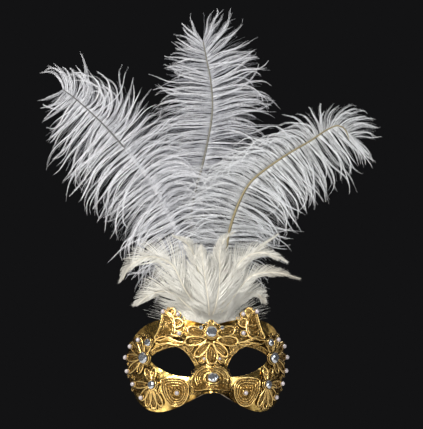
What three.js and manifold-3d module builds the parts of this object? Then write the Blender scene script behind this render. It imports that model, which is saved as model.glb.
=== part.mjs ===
// A gilded half mask with a spray of white feathers, in millimetres.
// Z is up, the face of the mask looks along -Y, and the origin is inside the bridge of the nose,
// where the mask sits on its wearer.
//
// Everything on the face is laid out on the mask's own surface. "Across" is the distance from the
// centre line, measured round the plan curve of the face. "Height" is the distance above the bridge.
// "Lift" is the distance out from the surface, which is negative inside the wall.
import * as THREE from "three";
import { mergeVertices } from "three/addons/utils/BufferGeometryUtils.js";
import Module from "manifold-3d";

const wasm = await Module();
wasm.setup();

// The mask's wall and face
const faceHalfWidth = 81;
const faceDepth = 68;
const templeReach = 104;
const browHeight = 42;
const cheekDrop = 51;
const wallThickness = 2.4;
const noseRise = 19;
const noseHalfWidth = 14;
const browSlope = 4;
const cheekTuck = 3;

// The eye openings
const eyeInset = 16;
const eyeWidth = 51.5;
const eyeHeight = 30;

// The gilded lace
const glueGap = 0.35;
const laceRim = 2.3;
const laceFill = 1.4;
const cupLift = 2.9;
const cupRim = 0.9;
const lidCordWidth = 2.6;
const lidCordGap = 2.6;

// Stones and pearls, by diameter
const browCrystal = 11;
const noseCrystal = 10.5;
const templeCrystal = 11;
const cheekCrystal = 8.5;
const lidCrystal = 7.2;
const beadCrystal = 4;
const pearlSize = 5;
const smallPearl = 3.2;

// The feathers
const plumeQuill = 3.6;
const plumeTip = 1.2;
const tuftQuill = 1.5;
const quillPitch = 2.4;
const plumePitch = 6;
const quillTuck = 22;
const barbLength = 100;
const barbFluff = 7;
const lockWidth = 31;
const lockThickness = 2.8;
const locksPerSide = 8;
const tuftSpread = 90;
const tuftHeight = 130;
const tuftBlade = 13;
const tuftLayer = 3.4;
const fanStart = 43;
const fanEnd = 60;

const radians = THREE.MathUtils.degToRad;
const smooth = (value, low, high) => THREE.MathUtils.smoothstep(value, low, high);

// Rows hold shares of the named sizes. The value of a column between two rows follows a smooth curve.
function between(rows, key, at) {
  const place = rows[0][at.column] < rows[rows.length - 1][at.column] ? 1 : -1;
  const stations = rows.map((row) => row[at.column] * place);
  const wanted = THREE.MathUtils.clamp(at.value * place, stations[0], stations[stations.length - 1]);
  const first = Math.max(0, Math.min(rows.length - 2, stations.findLastIndex((s) => s <= wanted)));
  const slope = (row) => {
    const low = Math.max(0, row - 1);
    const high = Math.min(rows.length - 1, row + 1);
    return (rows[high][key] - rows[low][key]) / (stations[high] - stations[low]);
  };
  const span = stations[first + 1] - stations[first];
  const u = (wanted - stations[first]) / span;
  const start = rows[first][key] * (1 - 3 * u * u + 2 * u ** 3) + slope(first) * span * (u - 2 * u * u + u ** 3);
  const end = rows[first + 1][key] * (3 * u * u - 2 * u ** 3) + slope(first + 1) * span * (u ** 3 - u * u);
  return start + end;
}

// The mask's outline: across is a share of templeReach, top of browHeight and bottom of cheekDrop.
const maskOutline = [
  { across: 0.0, top: 0.88, bottom: 0.6 },
  { across: 0.08, top: 0.9, bottom: 0.64 },
  { across: 0.15, top: 0.94, bottom: 0.72 },
  { across: 0.25, top: 0.99, bottom: 0.83 },
  { across: 0.34, top: 1.0, bottom: 0.92 },
  { across: 0.45, top: 1.0, bottom: 0.985 },
  { across: 0.54, top: 0.965, bottom: 1.0 },
  { across: 0.64, top: 0.885, bottom: 0.96 },
  { across: 0.74, top: 0.76, bottom: 0.85 },
  { across: 0.82, top: 0.615, bottom: 0.7 },
  { across: 0.9, top: 0.46, bottom: 0.49 },
  { across: 0.96, top: 0.3, bottom: 0.28 },
  { across: 1.0, top: 0.14, bottom: 0.08 },
];

function edgeHeight(across, edge) {
  const share = Math.abs(across) / templeReach;
  const reach = edge === "top" ? browHeight : -cheekDrop;
  return reach * between(maskOutline, edge, { column: "across", value: share });
}

// An eye opening, anticlockwise from its outer corner: along is a share of eyeWidth from the
// inner side, rise a share of eyeHeight from the bridge.
const eyeOutline = [
  { along: 1.0, rise: 0.1 },
  { along: 0.79, rise: 0.3 },
  { along: 0.56, rise: 0.435 },
  { along: 0.39, rise: 0.48 },
  { along: 0.275, rise: 0.413 },
  { along: 0.17, rise: 0.257 },
  { along: 0.058, rise: -0.02 },
  { along: 0.0, rise: -0.25 },
  { along: 0.02, rise: -0.42 },
  { along: 0.08, rise: -0.523 },
  { along: 0.28, rise: -0.5 },
  { along: 0.5, rise: -0.423 },
  { along: 0.73, rise: -0.267 },
  { along: 0.91, rise: -0.077 },
  { along: 1.0, rise: 0.1 },
];
const upperLidRows = 7;

// Soft forms of the face: across and wide are shares of templeReach, height and tall of browHeight,
// and rise is in millimetres.
const faceForms = [
  { across: 0.3, height: 0.55, wide: 0.28, tall: 0.32, rise: 3 },
  { across: 0.38, height: -0.03, wide: 0.21, tall: 0.32, rise: -5.5 },
  { across: 0.46, height: -0.66, wide: 0.26, tall: 0.38, rise: 4.5 },
];
const noseTopHeight = 18;

// The plan curve of the face runs a little past the temples, so that lace may overhang them.
const planSweep = radians(89);
const plan = new THREE.EllipseCurve(
  0, faceDepth, faceHalfWidth, faceDepth,
  -Math.PI / 2 - planSweep, -Math.PI / 2 + planSweep, false, 0,
);
plan.arcLengthDivisions = 400;
const planLength = plan.getLength();

function faceRelief(across, height) {
  const forms = faceForms.reduce((sum, form) => {
    const sideways = (Math.abs(across) - form.across * templeReach) / (form.wide * templeReach);
    const upward = (height - form.height * browHeight) / (form.tall * browHeight);
    return sum + form.rise * Math.exp(-(sideways ** 2) - upward ** 2);
  }, 0);
  const noseFoot = -cheekDrop * maskOutline[0].bottom;
  const down = THREE.MathUtils.clamp((noseTopHeight - height) / (noseTopHeight - noseFoot), 0, 1);
  const width = noseHalfWidth * (0.6 + 0.4 * down);
  return forms + noseRise * down ** 1.6 * Math.exp(-((across / width) ** 2));
}

function facePlace(across, height) {
  const share = THREE.MathUtils.clamp(across / planLength + 0.5, 0, 1);
  const onPlan = plan.getPointAt(share);
  const along = plan.getTangentAt(share);
  const relief = faceRelief(across, height);
  const tilt = height > 0 ? browSlope * (height / browHeight) ** 2 : cheekTuck * (height / cheekDrop) ** 2;
  return new THREE.Vector3(onPlan.x + along.y * relief, onPlan.y - along.x * relief + tilt, height);
}

function faceNormal(across, height) {
  const reach = 0.5;
  const sideways = facePlace(across + reach, height).sub(facePlace(across - reach, height));
  const upward = facePlace(across, height + reach).sub(facePlace(across, height - reach));
  return sideways.cross(upward).normalize();
}

function facePoint(across, height, lift = 0) {
  return facePlace(across, height).addScaledVector(faceNormal(across, height), lift);
}

// Closes a skin over rings of points. A ring of one point is a pole, and other end rings are
// closed by a ladder between their two halves.
function skin(rings) {
  const positions = rings.flat().flatMap((p) => [p.x, p.y, p.z]);
  const starts = rings.map((_, r) => rings.slice(0, r).flat().length);
  const index = [];
  for (let r = 0; r + 1 < rings.length; r++) {
    const [low, high] = [rings[r].length, rings[r + 1].length];
    const around = Math.max(low, high);
    for (let k = 0; k < around; k++) {
      const next = (k + 1) % around;
      const lowAt = (i) => starts[r] + (low > 1 ? i : 0);
      const highAt = (i) => starts[r + 1] + (high > 1 ? i : 0);
      if (low > 1) index.push(lowAt(k), lowAt(next), highAt(k));
      if (high > 1) index.push(lowAt(next), highAt(next), highAt(k));
    }
  }
  const ladder = (start, count, turned) => {
    for (let k = 0; k + 1 < count / 2; k++) {
      const [a, b, c, d] = [start + k, start + k + 1, start + count - 2 - k, start + count - 1 - k];
      index.push(...(turned ? [a, b, c, a, c, d] : [a, c, b, a, d, c]));
    }
  };
  ladder(starts[0], rings[0].length, false);
  ladder(starts[rings.length - 1], rings[rings.length - 1].length, true);
  const made = new THREE.BufferGeometry();
  made.setAttribute("position", new THREE.Float32BufferAttribute(positions, 3));
  made.setIndex(index);
  return facingOut(made);
}

// A mirrored or reversed skin has its faces turned, so that they always point outwards.
function facingOut(geometry) {
  const place = geometry.attributes.position;
  const index = geometry.index.array;
  const corner = (i) => new THREE.Vector3().fromBufferAttribute(place, index[i]);
  let volume = 0;
  for (let i = 0; i < index.length; i += 3) volume += corner(i).dot(corner(i + 1).cross(corner(i + 2)));
  if (volume < 0) {
    for (let i = 0; i < index.length; i += 3) [index[i], index[i + 1]] = [index[i + 1], index[i]];
  }
  return geometry;
}

function solidOf(geometry) {
  const bare = geometry.clone();
  bare.deleteAttribute("normal");
  bare.deleteAttribute("uv");
  const merged = mergeVertices(bare, 1e-4);
  const triVerts = new Uint32Array(merged.index.array);
  return new wasm.Manifold(
    new wasm.Mesh({ numProp: 3, vertProperties: merged.attributes.position.array, triVerts }),
  );
}

function geometryOf(solid) {
  const mesh = solid.getMesh();
  const made = new THREE.BufferGeometry();
  made.setAttribute("position", new THREE.Float32BufferAttribute(mesh.vertProperties, 3));
  made.setIndex(new THREE.BufferAttribute(mesh.triVerts, 1));
  made.computeVertexNormals();
  return made;
}

function joined(geometries) {
  return geometryOf(geometries.map(solidOf).reduce((sum, part) => sum.add(part)));
}

// Finishes
const gold = new THREE.MeshStandardMaterial({ color: 0xd9a63a, roughness: 0.35, metalness: 1 });
const lace = new THREE.MeshStandardMaterial({ color: 0xb98a35, roughness: 0.5, metalness: 0.8 });
const crystal = new THREE.MeshStandardMaterial({ color: 0xdfe6ee, roughness: 0.05, metalness: 0.2 });
const pearl = new THREE.MeshStandardMaterial({ color: 0xefe8e4, roughness: 0.2, metalness: 0.1 });
const ostrich = new THREE.MeshStandardMaterial({ color: 0xe9eaee, roughness: 0.9, metalness: 0 });
const hackle = new THREE.MeshStandardMaterial({ color: 0xefebdd, roughness: 0.8, metalness: 0 });

const mask = new THREE.Group();

function addPiece(name, geometry, material) {
  const mesh = new THREE.Mesh(geometry, material);
  mesh.name = name;
  mask.add(mesh);
  return mesh;
}

// The wall of the mask, as sections from temple to temple, with both eyes cut through
const wallColumns = 32;
const wallRows = 9;
const centreCrowding = 1.25;

function columnAcross(column) {
  const share = (2 * column) / wallColumns - 1;
  return templeReach * Math.sign(share) * Math.abs(share) ** centreCrowding;
}

function wallSection(column) {
  const across = columnAcross(column);
  const [low, high] = [edgeHeight(across, "bottom"), edgeHeight(across, "top")];
  const heights = Array.from({ length: wallRows + 1 }, (_, row) => low + ((high - low) * row) / wallRows);
  const outer = heights.map((height) => facePoint(across, height, 0));
  const inner = heights.map((height) => facePoint(across, height, -wallThickness));
  return [...outer, ...inner.reverse()];
}

function eyeCutter(side) {
  const eyeSteps = 26;
  const corners = eyeOutline.map((row) => {
    const place = facePoint(side * (eyeInset + eyeWidth * row.along), eyeHeight * row.rise);
    return new THREE.Vector2(place.x, place.z);
  });
  const outline = new THREE.SplineCurve(corners).getPoints(eyeSteps).slice(0, -1);
  const through = 2 * faceDepth;
  const prism = new THREE.ExtrudeGeometry(new THREE.Shape(outline), {
    depth: through, bevelEnabled: false, steps: 1,
  });
  prism.rotateX(Math.PI / 2).translate(0, through, 0);
  return prism.translate(0, -through / 4, 0);
}

function maskShell() {
  const sections = Array.from({ length: wallColumns + 1 }, (_, column) => wallSection(column));
  const wall = solidOf(skin(sections));
  return geometryOf([-1, 1].reduce((left, side) => left.subtract(solidOf(eyeCutter(side))), wall));
}

// A lace pad: a raised rim round a lower filling, laid on the face. A bent pad follows the face
// between its middle and its edge as well.
function pad(outline, { centre = null, bent = false } = {}) {
  const middle = centre ?? outline
    .reduce((sum, p) => sum.add(p), new THREE.Vector2())
    .divideScalar(outline.length);
  const ring = (share, lift) =>
    outline.map((p) => {
      const at = middle.clone().lerp(p, share);
      return facePoint(at.x, at.y, lift);
    });
  const crest = 0.82;
  return skin([
    [facePoint(middle.x, middle.y, glueGap)],
    ...(bent ? [ring(0.5, glueGap)] : []),
    ring(1, glueGap),
    ring(crest, laceRim),
    [facePoint(middle.x, middle.y, laceFill)],
  ]);
}

// A petal springs from a root and points along its turn, anticlockwise from the right in degrees.
function petal(root, turn, length, width, bent = false) {
  const petalSides = 8;
  const [along, over] = [Math.cos(radians(turn)), Math.sin(radians(turn))];
  const outline = Array.from({ length: petalSides }, (_, k) => {
    const angle = (2 * Math.PI * k) / petalSides;
    const forward = (length * (1 - Math.cos(angle))) / 2;
    const sideways = (width / 2) * Math.sin(angle) * (0.8 + (0.4 * forward) / length);
    return new THREE.Vector2(
      root.x + forward * along - sideways * over,
      root.y + forward * over + sideways * along,
    );
  });
  return pad(outline, { bent });
}

// A round cup that a stone or pearl is glued in
function cup(at, diameter, foot = glueGap) {
  const sides = diameter > pearlSize ? 8 : 6;
  const ring = (radius, lift) =>
    Array.from({ length: sides }, (_, k) => {
      const angle = (2 * Math.PI * k) / sides;
      return facePoint(at.x + radius * Math.cos(angle), at.y + radius * Math.sin(angle), lift);
    });
  const radius = diameter / 2 + cupRim;
  return skin([
    [facePoint(at.x, at.y, foot)],
    ring(radius, foot),
    ring(radius - cupRim / 3, cupLift),
    [facePoint(at.x, at.y, cupLift)],
  ]);
}

// Where each stone and pearl sits: across is a share of templeReach, height of browHeight. A foot
// is the lift of a cup that stands in its lace, clear of the ridge below it.
const seats = {
  brow_crystal: { across: 0, height: 0.69, size: browCrystal },
  nose_crystal: { across: 0, height: -0.42, size: noseCrystal, foot: laceFill * 0.8 },
  temple_crystal: { across: 0.685, height: 0.075, size: templeCrystal },
  lid_crystal: { across: 0.62, height: 0.445, size: lidCrystal },
  cheek_crystal: { across: 0.56, height: -0.57, size: cheekCrystal },
  brow_bead: { across: 0.1, height: 0.78, size: beadCrystal },
  crest_outer_pearl: { across: 0.455, height: 1.16, size: pearlSize },
  crest_inner_pearl: { across: 0.308, height: 1.1, size: pearlSize },
  crest_lower_pearl: { across: 0.295, height: 0.645, size: pearlSize },
  temple_pearl_1: { across: 0.735, height: 0.5, size: pearlSize },
  temple_pearl_2: { across: 0.86, height: 0.34, size: pearlSize },
  temple_pearl_3: { across: 0.955, height: 0.075, size: pearlSize },
  temple_pearl_4: { across: 0.915, height: -0.25, size: pearlSize },
  cheek_pearl_1: { across: 0.805, height: -0.555, size: pearlSize },
  cheek_pearl_2: { across: 0.685, height: -0.86, size: pearlSize },
  drop_pearl: { across: 0.32, height: -0.74, size: pearlSize },
  brow_pearl: { across: 0.06, height: 0.045, size: smallPearl },
};

function seatPlace(name, side = 1) {
  const seat = seats[name];
  return new THREE.Vector2(side * seat.across * templeReach, seat.height * browHeight);
}

function cups(names, side) {
  return names.map((name) => cup(seatPlace(name, side), seats[name].size, seats[name].foot));
}

// Petals of a motif: turn in degrees for the wearer's left side, reach and width as shares of its petal size
function petals(rows, root, size, side) {
  return rows.map((row) => {
    const turn = side > 0 ? row.turn : 180 - row.turn;
    const start = new THREE.Vector2(
      root.x + size * row.start * Math.cos(radians(turn)),
      root.y + size * row.start * Math.sin(radians(turn)),
    );
    return petal(start, turn, size * row.reach, size * row.width, row.bent);
  });
}

const browPetal = 22;
const browPetals = [
  { turn: -90, start: 0.2, reach: 1.32, width: 0.46, bent: true },
  { turn: -48, start: 0.25, reach: 0.9, width: 0.36, bent: true },
  { turn: -14, start: 0.22, reach: 0.96, width: 0.4 },
  { turn: 14, start: 0.22, reach: 0.88, width: 0.4 },
];
const browScrolls = [
  { turn: -71, start: 0.84, reach: 0.44, width: 0.3, bent: true },
  { turn: -31, start: 0.68, reach: 0.5, width: 0.32, bent: true },
];

function browFlower() {
  const root = seatPlace("brow_crystal");
  const sides = [1, -1].flatMap((side) => [
    ...petals(browPetals.slice(side > 0 ? 0 : 1), root, browPetal, side),
    ...petals(browScrolls, root, browPetal, side),
    ...cups(["brow_bead", "brow_pearl"], side),
  ]);
  const topLoop = petal(new THREE.Vector2(root.x, root.y + browPetal * 0.25), 90, browPetal * 0.32, browPetal * 0.3);
  return joined([...sides, topLoop, ...cups(["brow_crystal"], 1)]);
}

// The crest's bell: across as a share of templeReach, height of browHeight
const crestBell = [
  { across: 0.462, height: 1.21 },
  { across: 0.482, height: 0.98 },
  { across: 0.51, height: 0.74 },
  { across: 0.55, height: 0.52 },
  { across: 0.49, height: 0.49 },
  { across: 0.42, height: 0.55 },
  { across: 0.35, height: 0.58 },
  { across: 0.336, height: 0.8 },
  { across: 0.35, height: 1.0 },
  { across: 0.388, height: 1.14 },
];
const crestLoops = [
  { across: 0.515, height: 0.52, turn: 180, reach: 26, width: 6.5 },
  { across: 0.262, height: 0.9, turn: 0, reach: 11, width: 9.5 },
  { across: 0.36, height: 1.06, turn: 62, reach: 8.5, width: 9 },
  { across: 0.38, height: 1.04, turn: 170, reach: 9.5, width: 5.5 },
  { across: 0.38, height: 0.66, turn: 182, reach: 10, width: 5.5 },
];

function browCrest(side) {
  const place = (row) => new THREE.Vector2(side * row.across * templeReach, row.height * browHeight);
  const leaf = (row) => petal(place(row), side > 0 ? row.turn : 180 - row.turn, row.reach, row.width);
  return joined([
    pad(crestBell.map(place), { bent: true }),
    ...crestLoops.map(leaf),
    ...cups(["crest_outer_pearl", "crest_inner_pearl", "crest_lower_pearl"], side),
  ]);
}

const templePetal = 20;
const templePetals = [
  { turn: 114, start: 0.2, reach: 0.8, width: 0.36 },
  { turn: 72, start: 0.2, reach: 0.95, width: 0.36 },
  { turn: 34, start: 0.2, reach: 1.1, width: 0.38 },
  { turn: 1, start: 0.2, reach: 1.32, width: 0.38, bent: true },
  { turn: -30, start: 0.2, reach: 1.26, width: 0.38 },
  { turn: -64, start: 0.2, reach: 0.68, width: 0.34 },
];

function templeFlower(side) {
  return joined([
    ...petals(templePetals, seatPlace("temple_crystal", side), templePetal, side),
    ...cups(["temple_crystal", "lid_crystal"], side),
    ...cups(["temple_pearl_1", "temple_pearl_2", "temple_pearl_3", "temple_pearl_4"], side),
  ]);
}

const cheekPetal = 20;
const cheekPetals = [
  { turn: 84, start: 0.15, reach: 0.72, width: 0.3 },
  { turn: 55, start: 0.15, reach: 0.85, width: 0.3 },
  { turn: 1, start: 0.15, reach: 1.24, width: 0.34 },
  { turn: -42, start: 0.15, reach: 0.96, width: 0.36 },
  { turn: -68, start: 0.15, reach: 0.98, width: 0.34 },
  { turn: -91, start: 0.15, reach: 1.02, width: 0.34 },
  { turn: -114, start: 0.15, reach: 0.98, width: 0.3 },
];

function cheekFan(side) {
  return joined([
    ...petals(cheekPetals, seatPlace("cheek_crystal", side), cheekPetal, side),
    ...cups(["cheek_crystal", "cheek_pearl_1", "cheek_pearl_2"], side),
  ]);
}

// A panel of lace follows the wall's own columns. Its rows give the height of both edges as shares of
// browHeight, at shares of templeReach.
function panel(rows, side, seat = glueGap) {
  const [start, end] = [rows[0].across, rows[rows.length - 1].across];
  const shares = Array.from({ length: wallColumns + 1 }, (_, column) => columnAcross(column) / templeReach)
    .filter((share) => share > start && share < end)
    .concat(rows.map((row) => row.across))
    .sort((a, b) => a - b);
  const sections = shares.map((share) => {
    const at = { column: "across", value: share };
    const high = browHeight * between(rows, "top", at);
    const low = browHeight * between(rows, "bottom", at);
    const point = (rise, lift) => facePoint(side * share * templeReach, low + (high - low) * rise, lift);
    const top = share === start || share === end ? laceRim : laceFill;
    return [
      ...[0, 0.33, 0.67, 1].map((rise) => point(rise, seat)),
      point(0.92, laceRim), point(0.67, top), point(0.33, top), point(0.08, laceRim),
    ];
  });
  return skin(sections);
}

const cheekDropRows = [
  { across: 0.205, top: -0.6, bottom: -0.78 },
  { across: 0.23, top: -0.49, bottom: -0.92 },
  { across: 0.305, top: -0.41, bottom: -1.05 },
  { across: 0.38, top: -0.41, bottom: -1.03 },
  { across: 0.425, top: -0.44, bottom: -0.92 },
  { across: 0.462, top: -0.47, bottom: -0.7 },
];

function cheekDropPad(side) {
  const at = seatPlace("drop_pearl", side);
  const reach = 7;
  const ring = Array.from({ length: 8 }, (_, k) => {
    const angle = (2 * Math.PI * k) / 8;
    return new THREE.Vector2(at.x + reach * Math.cos(angle), at.y + reach * Math.sin(angle));
  });
  return joined([panel(cheekDropRows, side), pad(ring), ...cups(["drop_pearl"], side)]);
}

const noseShieldRows = [
  { across: -0.185, top: -0.45, bottom: -0.58 },
  { across: -0.15, top: -0.28, bottom: -0.7 },
  { across: -0.11, top: -0.16, bottom: -0.7 },
  { across: -0.06, top: -0.12, bottom: -0.68 },
  { across: 0, top: -0.17, bottom: -0.67 },
  { across: 0.06, top: -0.12, bottom: -0.68 },
  { across: 0.11, top: -0.16, bottom: -0.7 },
  { across: 0.15, top: -0.28, bottom: -0.7 },
  { across: 0.185, top: -0.45, bottom: -0.58 },
];

function noseShield() {
  return joined([panel(noseShieldRows, 1), ...cups(["nose_crystal"], 1)]);
}

// A cord of lace along the upper lid
function lidCord(side) {
  const rows = eyeOutline.slice(1, upperLidRows - 1);
  const line = rows.map((row) => new THREE.Vector2(side * (eyeInset + eyeWidth * row.along), eyeHeight * row.rise));
  const path = new THREE.SplineCurve(line);
  const steps = 9;
  const sections = Array.from({ length: steps + 1 }, (_, step) => {
    const at = path.getPointAt(step / steps);
    const ahead = path.getTangentAt(step / steps);
    const out = new THREE.Vector2(ahead.y, -ahead.x).multiplyScalar(side);
    const half = lidCordWidth / 2;
    const point = (shift, lift) => {
      const p = at.clone().addScaledVector(out, lidCordGap + shift);
      return facePoint(p.x, p.y, lift);
    };
    const shoulder = half * 0.5;
    return [point(-half, glueGap), point(-shoulder, laceRim), point(shoulder, laceRim), point(half, glueGap)];
  });
  return skin(sections);
}

// Stones have a flat back, a girdle, a crown of facets and a table. Pearls are flat where they are glued.
const stoneProfile = [[0, 0], [0.8, 0], [1, 0.28], [0.58, 0.62], [0, 0.62]];
const pearlProfile = [[0, 0], [0.72, 0], [1, 0.62], [0.76, 1.22], [0, 1.52]];
const stoneFacets = 8;
const pearlFacets = 10;

function turned(profile, diameter, facets) {
  const points = profile.map(([radius, height]) => new THREE.Vector2((radius * diameter) / 2, (height * diameter) / 2));
  return new THREE.LatheGeometry(points, facets);
}

function setOnFace(mesh, at, lift) {
  mesh.position.copy(facePoint(at.x, at.y, lift));
  mesh.quaternion.setFromUnitVectors(new THREE.Vector3(0, 1, 0), faceNormal(at.x, at.y));
}

function addJewel(name, seatName, side) {
  const isPearl = seatName.endsWith("pearl") || seatName.includes("pearl_");
  const [profile, facets, material] = isPearl
    ? [pearlProfile, pearlFacets, pearl]
    : [stoneProfile, stoneFacets, crystal];
  const mesh = addPiece(name, turned(profile, seats[seatName].size, facets), material);
  setOnFace(mesh, seatPlace(seatName, side), cupLift + glueGap);
}

// Quills stand in two rows against the inside of the brow: the tuft's in front, the plumes' behind it.
const tuftRowLift = -(wallThickness + glueGap + tuftQuill / 2);
const plumeRowLift = tuftRowLift - (tuftQuill / 2 + glueGap + plumeQuill / 2);
const browTop = browHeight * maskOutline[0].top;
const quillFoot = browTop - quillTuck;

function quillStart(across, lift, foot) {
  const heights = [foot, (foot + browTop) / 2, browTop + 1, browTop + 7];
  return heights.map((height) => facePoint(across, height, lift));
}

function roundSection(centre, ahead, radius, sides) {
  const sideways = new THREE.Vector3(0, 1, 0).cross(ahead).normalize();
  const upward = ahead.clone().cross(sideways);
  return Array.from({ length: sides }, (_, k) => {
    const angle = (2 * Math.PI * (k + 0.5)) / sides;
    return centre.clone()
      .addScaledVector(sideways, radius * Math.cos(angle))
      .addScaledVector(upward, radius * Math.sin(angle));
  });
}

// A lock of barbs leaves the shaft at its root angle and bends to its tip angle, both in degrees
// anticlockwise from the right as seen from the front.
function lock(start, length, rootAngle, tipAngle, depth) {
  const steps = 3;
  const bend = 1.5;
  const at = start.clone();
  const sections = [];
  for (let step = 0; step <= steps; step++) {
    const share = step / steps;
    const angle = radians(rootAngle + (tipAngle - rootAngle) * share ** bend);
    const ahead = new THREE.Vector3(Math.cos(angle), 0, Math.sin(angle));
    const across = new THREE.Vector3(-ahead.z, 0, ahead.x);
    const half = (lockWidth / 2) * (step === steps ? 0.3 : 0.8 + 0.2 * Math.sin(Math.PI * share));
    const thick = (lockThickness / 2) * (1 - 0.6 * share);
    const middle = at.clone();
    middle.y += depth * share * share;
    sections.push([
      middle.clone().addScaledVector(across, half),
      middle.clone().setY(middle.y - thick),
      middle.clone().addScaledVector(across, -half),
      middle.clone().setY(middle.y + thick),
    ]);
    at.addScaledVector(ahead, length / steps);
  }
  return skin(sections);
}

// An ostrich plume. The path's rows are shares of its span and height, and lean is its tilt back in
// degrees. Barb rows give their place along the shaft, their length as a share of barbLength, and
// the angles of their root and tip.
function plume({ foot, span, height, lean, path, barbs, firstBarb }) {
  const shaftSteps = 12;
  const shaftSides = 5;
  const stem = quillStart(foot * plumePitch, plumeRowLift, quillFoot);
  const bottom = stem[stem.length - 1];
  const free = path.map((row) => {
    const z = height * row.height;
    return new THREE.Vector3(span * row.across, bottom.y + Math.tan(radians(lean)) * (z - bottom.z), z);
  });
  const shaft = new THREE.CatmullRomCurve3([...stem, ...free], false, "centripetal");
  shaft.arcLengthDivisions = 400;
  const sections = Array.from({ length: shaftSteps + 1 }, (_, step) => {
    const share = step / shaftSteps;
    const radius = THREE.MathUtils.lerp(plumeQuill, plumeTip, share) / 2;
    return roundSection(shaft.getPointAt(share), shaft.getTangentAt(share), radius, shaftSides);
  });
  const locks = Object.values(barbs).flatMap((rows) =>
    Array.from({ length: locksPerSide }, (_, k) => {
      const share = firstBarb + ((0.995 - firstBarb) * (k + 0.5)) / locksPerSide;
      const at = { column: "at", value: share };
      const depth = barbFluff * share * (k % 2 ? 1 : -1);
      return lock(
        shaft.getPointAt(share),
        barbLength * between(rows, "length", at),
        between(rows, "root", at),
        between(rows, "tip", at),
        depth,
      );
    }),
  );
  return joined([skin(sections), ...locks]);
}

const centrePlume = {
  foot: -0.25, span: 16, height: 328, lean: 14, firstBarb: 0.42,
  path: [
    { across: -0.68, height: 0.218 },
    { across: -1.0, height: 0.371 },
    { across: -0.95, height: 0.479 },
    { across: -0.25, height: 0.604 },
    { across: 0.35, height: 0.73 },
    { across: 0.5, height: 0.793 },
    { across: 0.42, height: 0.873 },
    { across: 0.2, height: 0.937 },
    { across: 0.0, height: 0.9945 },
  ],
  barbs: {
    left: [
      { at: 0.4, length: 0.55, root: 170, tip: 240 },
      { at: 0.53, length: 0.7, root: 178, tip: 235 },
      { at: 0.66, length: 0.68, root: 178, tip: 228 },
      { at: 0.78, length: 0.6, root: 177, tip: 205 },
      { at: 0.87, length: 0.49, root: 172, tip: 187 },
      { at: 0.94, length: 0.35, root: 168, tip: 172 },
      { at: 1, length: 0.31, root: 132, tip: 112 },
    ],
    right: [
      { at: 0.4, length: 0.55, root: 12, tip: -65 },
      { at: 0.53, length: 0.66, root: 8, tip: -62 },
      { at: 0.66, length: 0.65, root: 10, tip: -50 },
      { at: 0.78, length: 0.61, root: 16, tip: -30 },
      { at: 0.87, length: 0.56, root: 22, tip: -4 },
      { at: 0.94, length: 0.5, root: 32, tip: 24 },
      { at: 1, length: 0.34, root: 80, tip: 88 },
    ],
  },
};

const leftPlume = {
  foot: -1.25, span: 146, height: 274, lean: 8, firstBarb: 0.26,
  path: [
    { across: -0.098, height: 0.261 },
    { across: -0.192, height: 0.426 },
    { across: -0.307, height: 0.573 },
    { across: -0.444, height: 0.695 },
    { across: -0.581, height: 0.787 },
    { across: -0.7, height: 0.859 },
    { across: -0.787, height: 0.905 },
    { across: -0.925, height: 0.971 },
    { across: -1.0, height: 1.0 },
  ],
  barbs: {
    outer: [
      { at: 0.26, length: 0.5, root: 200, tip: 258 },
      { at: 0.4, length: 0.62, root: 208, tip: 258 },
      { at: 0.55, length: 0.67, root: 215, tip: 263 },
      { at: 0.66, length: 0.68, root: 219, tip: 265 },
      { at: 0.75, length: 0.7, root: 222, tip: 262 },
      { at: 0.83, length: 0.66, root: 226, tip: 256 },
      { at: 0.9, length: 0.54, root: 226, tip: 244 },
      { at: 1, length: 0.24, root: 215, tip: 190 },
    ],
    inner: [
      { at: 0.26, length: 0.45, root: 20, tip: -80 },
      { at: 0.49, length: 0.7, root: 45, tip: -88 },
      { at: 0.6, length: 0.68, root: 48, tip: -70 },
      { at: 0.69, length: 0.62, root: 50, tip: 20 },
      { at: 0.76, length: 0.54, root: 46, tip: 75 },
      { at: 0.82, length: 0.54, root: 36, tip: 148 },
      { at: 0.88, length: 0.53, root: 34, tip: 190 },
      { at: 0.94, length: 0.42, root: 52, tip: 190 },
      { at: 1, length: 0.32, root: 100, tip: 160 },
    ],
  },
};

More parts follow.
